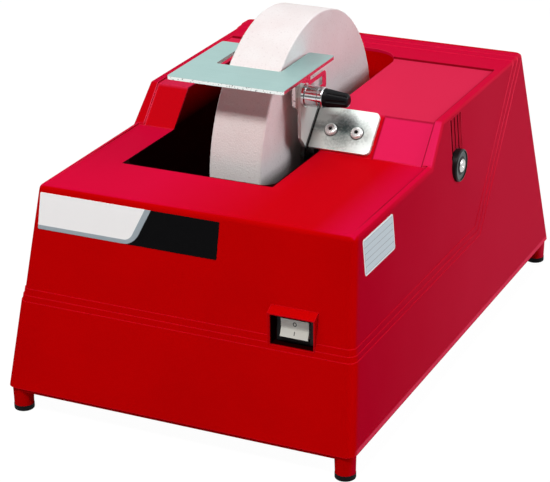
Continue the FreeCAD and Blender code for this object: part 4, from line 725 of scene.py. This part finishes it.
label_front = -0.1587
label_rear = -0.1073
label_low = 0.1285
label_high = 0.1538
label_middle_y = (label_front + label_rear) / 2
label_middle_z = (label_low + label_high) / 2
label_half_width = (label_rear - label_front) / 2
label_half_height = (label_high - label_low) / 2
label_middle = (right_wall(label_middle_z), label_middle_y, label_middle_z)
rearwards = np.array([0.0, 1.0, 0.0])
side_stretch = math.hypot(side_lean, 1.0)
side_slope = np.array([-side_lean, 0.0, 1.0]) / side_stretch
side_plate = plate_mesh("side_plate", half_width=label_half_width,
                        half_height=label_half_height * side_stretch, radius=0.002, thickness=0.00025,
                        origin=label_middle, across=rearwards, up=side_slope)
label_white = (0.84, 0.88, 0.9)
label_pale = (0.6, 0.7, 0.74)
label_ink = (0.1, 0.13, 0.15)
label_frame = 0.0016
label_line = 0.00022
label_rows = 5
ink_share = 0.7
label_foil, label_shader, label_start = new_finish("label_foil", label_pale, roughness=0.35,
                                                   Specular_IOR_Level=0.2)
label_z = reading(label_start, "Z")
from_side = label_half_width - abs(reading(label_start, "Y") - label_middle_y)
from_end = label_half_height - abs(label_z - label_middle_z)
to_edge = label_start.math("MINIMUM", from_side, from_end)
off_frame = abs(to_edge - label_frame)
row_pitch = 2 * (label_half_height - label_frame) / label_rows
row = label_start.math("FRACT", (label_z - label_low - label_frame) * (1.0 / row_pitch))
off_row = label_start.math("MINIMUM", row, 1.0 - row) * row_pitch
off_row = off_row + (label_frame - to_edge > 0.0)
off_line = label_start.math("MINIMUM", off_frame, off_row)
ink = ramp(label_start, off_line, label_line, 0.5 * label_line)
border = ramp(label_start, to_edge, label_frame, label_frame - label_line)
label_field = blend(label_start, border, solid(label_pale), solid(label_white))
label_field = blend(label_start, ink * ink_share, label_field, solid(label_ink))
label_start.feed(label_shader.inputs["Base Color"], label_field)
gloss(label_start, label_shader, noise(label_start, size=0.008), smooth=0.28, rough=0.43)
side_plate.data.materials.append(label_foil)
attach(side_plate, "machine")


# Switch: a snap-in rocker switch in the hood on the front, with a pale grey rocker in a black bezel.
# The 0 and the I are stamped into the rocker and filled with black.
rocker_grey = moulded("rocker_grey", colour=(0.74, 0.74, 0.68), second=(0.68, 0.68, 0.62), roughness=0.4,
                      grain=0.0008, depth=0.00003)
dress(rocker_grey, "switch_rocker")

rocker_pivot = np.array(pivots["switch_rock"])
rocker_tip = math.radians(-8.0)
rocker_end_reach = 0.0070
rocker_middle_reach = 0.0056
rocker_half = 0.0063
mark_stand = 0.00004


def tipped(y, z):
    """A place on the level rocker, turned with it about its pivot."""
    return np.array([0.0, y * math.cos(rocker_tip) - z * math.sin(rocker_tip),
                     y * math.sin(rocker_tip) + z * math.cos(rocker_tip)])


def mark_seat(up):
    """Place and upward way of a mark on the rocker's V face, which stands out evenly towards its ends."""
    slope = np.sign(up) * (rocker_end_reach - rocker_middle_reach) / rocker_half
    way = tipped(-slope, 1.0)
    return rocker_pivot + tipped(-rocker_middle_reach - slope * up, up), way / np.linalg.norm(way)


def ring_mesh(name, inner, outer, thickness, origin, across, up):
    """A flat ring between two ellipses, closed all round: a square section carried about its middle."""
    ring_steps = 40
    turn = np.linspace(0.0, 2.0 * math.pi, ring_steps, endpoint=False)
    section = [(inner, -thickness), (outer, -thickness), (outer, thickness), (inner, thickness)]
    rows = [np.stack([wide * np.cos(turn), high * np.sin(turn), np.full(turn.size, level)], axis=1)
            for (wide, high), level in section]
    starts = np.arange(len(section)) * turn.size
    sides = [between_rows(turn.size, low, high) for low, high in zip(starts, np.roll(starts, -1))]
    return seated(name, np.concatenate(rows), np.concatenate(sides).tolist(), origin, across, up)


ink_colour = (0.015, 0.015, 0.015)
ink_black, ink_shader, ink_start = new_finish("ink_black", ink_colour, roughness=0.5)
gloss(ink_start, ink_shader, noise(ink_start, size=0.0006), smooth=0.35, rough=0.65)
off_rise = 0.0031
on_rise = -0.0032
off_place, off_way = mark_seat(off_rise)
off_mark = ring_mesh("off_mark", inner=(0.00075, 0.0010), outer=(0.00135, 0.00165), thickness=mark_stand,
                     origin=off_place, across=sideways, up=off_way)
on_place, on_way = mark_seat(on_rise)
on_mark = plate_mesh("on_mark", half_width=0.0003, half_height=0.0013, radius=0.0002, thickness=mark_stand,
                     origin=on_place, across=sideways, up=on_way)
for mark in (off_mark, on_mark):
    mark.data.materials.append(ink_black)
    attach(mark, "rocker")


# Grinding wheel: a large white stone of bonded grit on the spindle, between paper blotters and steel flanges.
# The grit shows as fine grey and pink specks, and the white is faintly clouded with pink.
stone_white = (0.90, 0.87, 0.86)
stone_pink = (0.78, 0.65, 0.64)
stone_speck = (0.5, 0.42, 0.41)
stain_share = 0.35
grit_share = 0.3
speck_share = 0.3
stone, stone_shader, stone_start = new_finish("bonded_stone", stone_white, roughness=0.9,
                                              Specular_IOR_Level=0.2)
stain = ramp(stone_start, noise(stone_start, size=0.03, detail=5.0), low=0.4, high=0.75)
grit = noise(stone_start, size=0.0011)
specks = ramp(stone_start, noise(stone_start, size=0.0016, detail=2.0), low=0.62, high=0.74)
pink_share = stain * stain_share + grit * grit_share
stone_colour = blend(stone_start, pink_share, solid(stone_white), solid(stone_pink))
stone_colour = blend(stone_start, specks * speck_share, stone_colour, solid(stone_speck))
stone_start.feed(stone_shader.inputs["Base Color"], stone_colour)
bump(stone_start, stone_shader, grit, depth=0.00035)
dress(stone, "grinding_wheel")
blotter_paper = moulded("blotter_paper", colour=(0.5, 0.4, 0.28), second=(0.42, 0.33, 0.23), roughness=0.85,
                        grain=0.0006, depth=0.00008)
dress(blotter_paper, "wheel_blotters")
turned_steel = plated("turned_steel", bright=(0.62, 0.62, 0.61), dull=(0.5, 0.5, 0.49), smooth=0.2,
                      rough=0.36, patch=0.006, brush=(1.0, 6.0, 6.0))
dress(turned_steel, "inner_flange", "outer_flange", "wheel_nut", "wheel_axle")
dress(rubber, "water_slinger", "axle_seal")


# Side bush: a black plastic bush in the right wall, which carries the axle's end in a grey sintered sleeve.
# A thin black ring keeps dust from the bearing.
bush_black = (0.006, 0.006, 0.007)
slate_face_sheen = (0.1, 0.135, 0.125)
bush_rim = 0.0106
bush_soft = 0.0002
bush_plastic, bush_shader, bush_start = new_finish("bush_plastic", bush_black, roughness=0.35,
                                                   Specular_IOR_Level=0.15)
bush_aside = reading(bush_start, "Y") - axle_y
bush_rise = reading(bush_start, "Z") - axle_z
from_bush = bush_start.math("SQRT", bush_aside * bush_aside + bush_rise * bush_rise)
# Painted sheen: the end face is painted slate grey, lighter than the black rim round it.
lit_face_share = ramp(bush_start, from_bush, bush_rim, bush_rim - bush_soft)
bush_colour = blend(bush_start, lit_face_share, solid(bush_black), solid(slate_face_sheen))
bush_start.feed(bush_shader.inputs["Base Color"], bush_colour)
bush_grain = noise(bush_start, size=0.0008)
gloss(bush_start, bush_shader, bush_grain, smooth=0.25, rough=0.45)
bump(bush_start, bush_shader, bush_grain, depth=0.00003)
dress(bush_plastic, "side_bush")
seal_black = moulded("seal_black", colour=(0.005, 0.005, 0.006), second=(0.009, 0.009, 0.01), roughness=0.5,
                     grain=0.0008, depth=0.00003, Specular_IOR_Level=0.15)
dress(seal_black, "axle_dust_ring")
sinter = moulded("sintered_sleeve", colour=(0.085, 0.115, 0.11), second=(0.06, 0.08, 0.078), roughness=0.5,
                 grain=0.0006, depth=0.00008, Specular_IOR_Level=0.3)
dress(sinter, "side_bush_sleeve")


# Bracket: bent bright zinc plated sheet, screwed to the step with two button head screws.
# Its dark green-grey cloud and band, ragged with fine specks, are painted reflection; the fold and a ring
# round each head are painted shade.
bracket_bright = (0.72, 0.80, 0.76)
reflection_dark_green = (0.06, 0.1, 0.095)
painted_shade_black = (0.006, 0.008, 0.008)
bracket_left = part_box("rest_bracket")[0].x
fold_inset = 0.0029
fold_wide = 0.001
fold_soft = 0.0003
screws_low, screws_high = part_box("bracket_screws")
head_radius = 0.0045
head_edge = 0.0047
head_shade = 0.0056
screw_places = (screws_low.x + head_radius, screws_high.x - head_radius)
screw_rise = 0.0162
step_turn = math.atan2(upper_deck - lower_deck, step_head - step_foot)
plate_depth = 0.0035
cloud_x = 0.0465
cloud_up = 0.0175
cloud_reach = 0.012
cloud_end = 1.5
streak_share = 1.8
mist_share = 1.2
band_half = 0.0055
band_share = 0.55
bracket_smoothest = 0.18
cloud_gloss = 0.15
mist_gloss = 0.1
bracket_zinc, bracket_shader, bracket_start = new_finish("bracket_zinc", bracket_bright, roughness=0.3,
                                                         Metallic=0.15)


def up_step(start):
    """How far the point lies up the step's slope, from its foot."""
    along = (reading(start, "Y") - step_foot) * math.cos(step_turn)
    return along + (reading(start, "Z") - lower_deck) * math.sin(step_turn)


def off_step(start):
    """How far the point lies off the step's slope."""
    across = (reading(start, "Z") - lower_deck) * math.cos(step_turn)
    return across - (reading(start, "Y") - step_foot) * math.sin(step_turn)


def from_screw(start):
    """How far the point lies from the axis of the nearer of the bracket's two screws."""
    across = reading(start, "X")
    aside = [abs(across - middle) for middle in screw_places]
    nearest = start.math("MINIMUM", *aside)
    along = up_step(start) - screw_rise
    return start.math("SQRT", nearest * nearest + along * along)


bracket_x = reading(bracket_start, "X")
on_plate = plate_depth - off_step(bracket_start) > 0.0
up_plate = up_step(bracket_start)
# Painted reflection: a dark cloud mid-plate and a band running left of it.
cloud_aside = (bracket_x - cloud_x) * (1.0 / cloud_reach)
cloud_along = (up_plate - cloud_up) * (1.0 / cloud_reach)
from_cloud = bracket_start.math("SQRT", cloud_aside * cloud_aside + cloud_along * cloud_along)
streaks = noise(bracket_start, size=0.012, detail=4.0)
mist = noise(bracket_start, size=0.0016, detail=4.0)
ragged = from_cloud + (streaks - 0.5) * streak_share + (mist - 0.5) * mist_share
off_band = abs(up_plate - cloud_up) + (mist - 0.5) * band_half
band = ramp(bracket_start, off_band, band_half, 0.0) * (cloud_x - bracket_x > 0.0) * on_plate
cloud = ramp(bracket_start, ragged, cloud_end, 0.0) | (band * band_share)
# Painted shade: a dark line along the fold and a dark ring just outside each screw head.
off_fold = abs(bracket_x - (bracket_left + fold_inset))
fold_shade = ramp(bracket_start, off_fold, fold_wide, fold_soft) * on_plate
head_rim_shadows = ramp(bracket_start, from_screw(bracket_start), head_shade, head_edge)
zinc_colour = blend(bracket_start, cloud, solid(bracket_bright), solid(reflection_dark_green))
zinc_colour = blend(bracket_start, fold_shade | head_rim_shadows, zinc_colour, solid(painted_shade_black))
bracket_start.feed(bracket_shader.inputs["Base Color"], zinc_colour)
bracket_roughness = cloud * cloud_gloss + mist * mist_gloss + bracket_smoothest
bracket_start.feed(bracket_shader.inputs["Roughness"], bracket_roughness)
bump(bracket_start, bracket_shader, mist, depth=0.00002)
dress(bracket_zinc, "rest_bracket")

button_bright = (0.86, 0.88, 0.86)
socket_shade_black = (0.01, 0.01, 0.01)
socket_radius = 0.0016
button_shine = 0.5
button_zinc, button_shader, button_start = new_finish("button_zinc", button_bright, roughness=0.25)
# Painted shade: the socket in each button head is painted near black.
socket_shade_mask = ramp(button_start, from_screw(button_start), socket_radius, 0.8 * socket_radius)
button_colour = blend(button_start, socket_shade_mask, solid(button_bright), solid(socket_shade_black))
button_start.feed(button_shader.inputs["Base Color"], button_colour)
button_start.feed(button_shader.inputs["Metallic"], button_shine - socket_shade_mask * button_shine)
gloss(button_start, button_shader, noise(button_start, size=0.002), smooth=0.15, rough=0.35)
dress(button_zinc, "bracket_screws")


# Tool rest: satin zinc plated U-plate round the stone, with a slotted flange bent down at its right leg.
# The rolled sheet shows fine lines across the machine and a soft green-grey cast.
rest_pale = (0.42, 0.63, 0.61)
rest_deep = (0.35, 0.53, 0.51)
rest_highlight_pale = (0.82, 0.86, 0.84)
rest_speck = (0.1, 0.14, 0.13)
rest_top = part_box("tool_rest")[1].z
edge_start = 0.00015
edge_full = 0.00025
haze_share = 0.6
roll_share = 0.3
shear_share = 0.8
face_smoothest = 0.3
roll_gloss = 0.16
haze_gloss = 0.08
edge_polish = 0.24
rest_zinc, rest_shader, rest_start = new_finish("satin_zinc", rest_pale, roughness=0.4, Metallic=1.0)
rolled = noise(rest_start, size=0.0012, stretch=(0.06, 1.0, 1.0))
hazy = noise(rest_start, size=0.025, detail=4.0)
# Painted highlight: the cut edges below the top face are painted pale, broken by dark specks.
below_face = ramp(rest_start, rest_top - reading(rest_start, "Z"), edge_start, edge_full)
sheared = ramp(rest_start, noise(rest_start, size=0.0014), low=0.58, high=0.66)
face_colour = blend(rest_start, hazy * haze_share + rolled * roll_share, solid(rest_pale), solid(rest_deep))
edge_highlight_colour = blend(rest_start, sheared * shear_share, solid(rest_highlight_pale), solid(rest_speck))
rest_start.feed(rest_shader.inputs["Base Color"], blend(rest_start, below_face, face_colour, edge_highlight_colour))
rest_roughness = rolled * roll_gloss + hazy * haze_gloss + face_smoothest - below_face * edge_polish
rest_start.feed(rest_shader.inputs["Roughness"], rest_roughness)
bump(rest_start, rest_shader, rolled, depth=0.00001)
dress(rest_zinc, "tool_rest")


# Clamp: coach bolt, washer and a chromed collar with a black fluted grip, turned to lock the tool rest.
# The grip is moulded in glossy black phenolic.
chrome = plated("polished_chrome", bright=(0.72, 0.72, 0.73), dull=(0.6, 0.6, 0.61), smooth=0.06, rough=0.14,
                patch=0.004)
dress(chrome, "handle_hub", "clamp_bolt", "clamp_washer")
grip_black = moulded("grip_black", colour=(0.006, 0.006, 0.007), second=(0.01, 0.01, 0.011), roughness=0.22,
                     grain=0.0012, depth=0.00002, Specular_IOR_Level=0.07)
dress(grip_black, "handle_grip")
